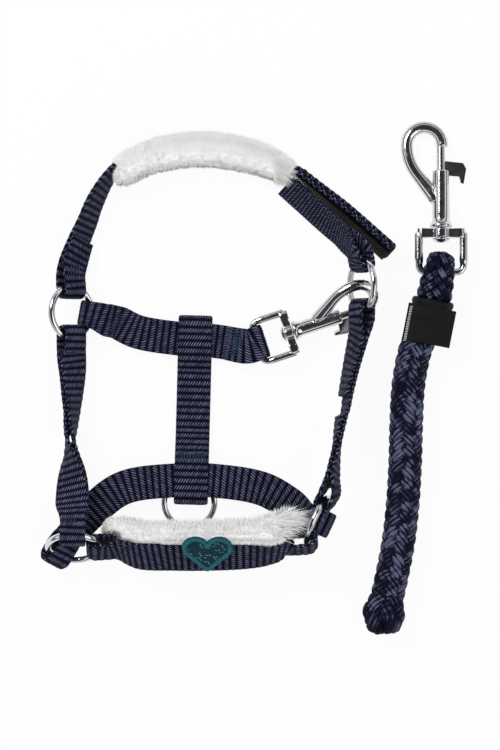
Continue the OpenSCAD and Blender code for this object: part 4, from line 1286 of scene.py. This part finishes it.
strip_turn = np.radians(np.linspace(0, 180, 41))
strip_run = np.linspace(0, STRIP_WIDE, 13)[:, None]
strip_r = LABEL_R + 0.5 * np.exp(-((strip_run - 1.6) / 1.3) ** 2) - 0.3 * (strip_run < 0.1)
strip_points = placed(
    label_at, LABEL_AXES, strip_run, strip_r * np.cos(strip_turn), strip_r * np.sin(strip_turn)
)
strip_out = placed(np.zeros(3), LABEL_AXES, 0.0, np.cos(strip_turn), np.sin(strip_turn))
label_strip = cloth_shell("label_strip", strip_points, -LABEL_THICK * strip_out)
finish_piece(label_strip, "lead", label_look, ["lead_label"])


def flag_level(x, y):
    """Height of the flag above the rope's middle: it sags to its sides and lifts over the strip's edge."""
    return LABEL_R - 0.0075 * np.abs(x) ** 2.1 + 0.5 * np.exp(-((y - STRIP_WIDE) / 2.5) ** 2)


flag_x = np.linspace(-LABEL_W / 2, LABEL_W / 2, 37)[None]
flag_y = np.linspace(LABEL_DROP, LABEL_DROP + LABEL_H, 33)[:, None]
flag_ripple = 0.12 * np.sin(flag_x / 3.1) * (flag_y - LABEL_DROP) / LABEL_H
flag_points = placed(label_at, LABEL_AXES, flag_y, flag_x, flag_level(flag_x, flag_y) + flag_ripple)
label_flag = cloth_shell("label_flag", flag_points, -LABEL_THICK * UP * MM)
finish_piece(label_flag, "lead", label_look)

EDGE_STITCHES = 21
EDGE_X = 9.6
EDGE_FIRST = 1.6
EDGE_PITCH = 0.78
EDGE_HALF = 0.55
EDGE_SLANT = 0.35
EDGE_LIFT = 0.1
EDGE_ARCH = 0.18
EDGE_R = 0.2 * MM
edge_store = new_store()
edge_across = np.linspace(-EDGE_HALF, EDGE_HALF, 7)
for k in range(EDGE_STITCHES):
    x = EDGE_X + edge_across
    y = LABEL_DROP + EDGE_FIRST + EDGE_PITCH * k + EDGE_SLANT * edge_across
    z = flag_level(x, y) + EDGE_LIFT + EDGE_ARCH * np.cos(edge_across / EDGE_HALF * np.pi / 2)
    add_thread(edge_store, placed(label_at, LABEL_AXES, y, x, z), EDGE_R, 6)
label_stitches = stored_object("label_edge_stitches", edge_store)
finish_piece(label_stitches, "lead", pale_look)

# Floor: pale, white where it is seen, with the object's shadow on it
FLOOR_EDGE = 3.0
FLOOR_LEVEL = -0.3 * MM
FLOOR_WHITE = 0.93


def seen_directly(tree):
    """One where a ray comes from the camera, a reflection or a clear piece, and nought elsewhere."""
    rays = tree.nodes.new("ShaderNodeLightPath")
    share = rays.outputs["Is Camera Ray"]
    for ray in ("Is Glossy Ray", "Is Transmission Ray"):
        either = add_node(tree, "ShaderNodeMath", operation="MAXIMUM")
        tree.links.new(share, either.inputs[0])
        tree.links.new(rays.outputs[ray], either.inputs[1])
        share = either.outputs[0]
    return share


FLOOR_CORNERS = [(-1, -1), (1, -1), (1, 1), (-1, 1)]
floor_points = [(x * FLOOR_EDGE, y * FLOOR_EDGE, FLOOR_LEVEL) for x, y in FLOOR_CORNERS]
floor = new_object("floor", floor_points, [(0, 1, 2, 3)])
floor_look, floor_tree, floor_shader = material("floor", grey(0.94), 0.9)
floor_share = add_node(floor_tree, "ShaderNodeMath", operation="MULTIPLY")
floor_tree.links.new(seen_directly(floor_tree), floor_share.inputs[0])
floor_share.inputs[1].default_value = FLOOR_WHITE
floor_glow = add_node(floor_tree, "ShaderNodeEmission", Strength=1.0)
floor_mix = mixed(floor_tree, floor_share.outputs[0], floor_shader.outputs[0], floor_glow.outputs[0])
floor_tree.links.new(floor_mix, floor_tree.nodes["Material Output"].inputs["Surface"])
dress(floor, floor_look)

# Light: a key from the upper left, a weaker fill from the right, and the world
LIGHT_AIM = Vector((0.014, -0.008, 0.0))
WORLD_LIGHT = 0.64


def soft_light(name, place, size, power):
    data = bpy.data.lights.new(name, "AREA")
    data.size = size
    data.energy = power
    made = in_scene(name, data)
    made.location = place
    made.rotation_euler = (LIGHT_AIM - Vector(place)).to_track_quat("-Z", "Y").to_euler()


soft_light("key_light", (-0.55, 0.6, 1.0), 0.5, 7.0)
soft_light("fill_light", (0.7, -0.3, 0.8), 0.7, 2.0)
world = bpy.data.worlds.new("studio")
scene.world = world
world.use_nodes = True
world_tree = world.node_tree
background = world_tree.nodes["Background"]
background.inputs["Color"].default_value = (1, 1, 1, 1)
background.inputs["Strength"].default_value = WORLD_LIGHT
# Seen directly the world is white; in reflections it is a room with a white band round it and a dark ceiling
world_rays = world_tree.nodes.new("ShaderNodeLightPath")
world_way = world_tree.nodes.new("ShaderNodeTexCoord")
world_height = world_tree.nodes.new("ShaderNodeSeparateXYZ")
world_tree.links.new(world_way.outputs["Generated"], world_height.inputs[0])
ROOM = [
    (0.0, grey(0.55)), (0.18, grey(0.15, 0.005)), (0.34, grey(0.12, 0.005)), (0.42, grey(0.9)),
    (0.56, grey(1.0)), (0.64, grey(0.14, 0.005)), (0.8, grey(0.05, 0.005)), (1.0, grey(0.03, 0.003)),
]
room_seen = add_node(world_tree, "ShaderNodeBackground", Strength=1.0)
ramp(world_tree, world_height.outputs["Z"], ROOM, room_seen.inputs["Color"])
white_seen = add_node(world_tree, "ShaderNodeBackground", Strength=1.0)
seen = background.outputs[0]
for ray, shown in (
    ("Is Glossy Ray", room_seen), ("Is Transmission Ray", white_seen), ("Is Camera Ray", white_seen)
):
    seen = mixed(world_tree, world_rays.outputs[ray], seen, shown.outputs[0])
world_tree.links.new(seen, world_tree.nodes["World Output"].inputs["Surface"])
scene.view_settings.view_transform = "Standard"
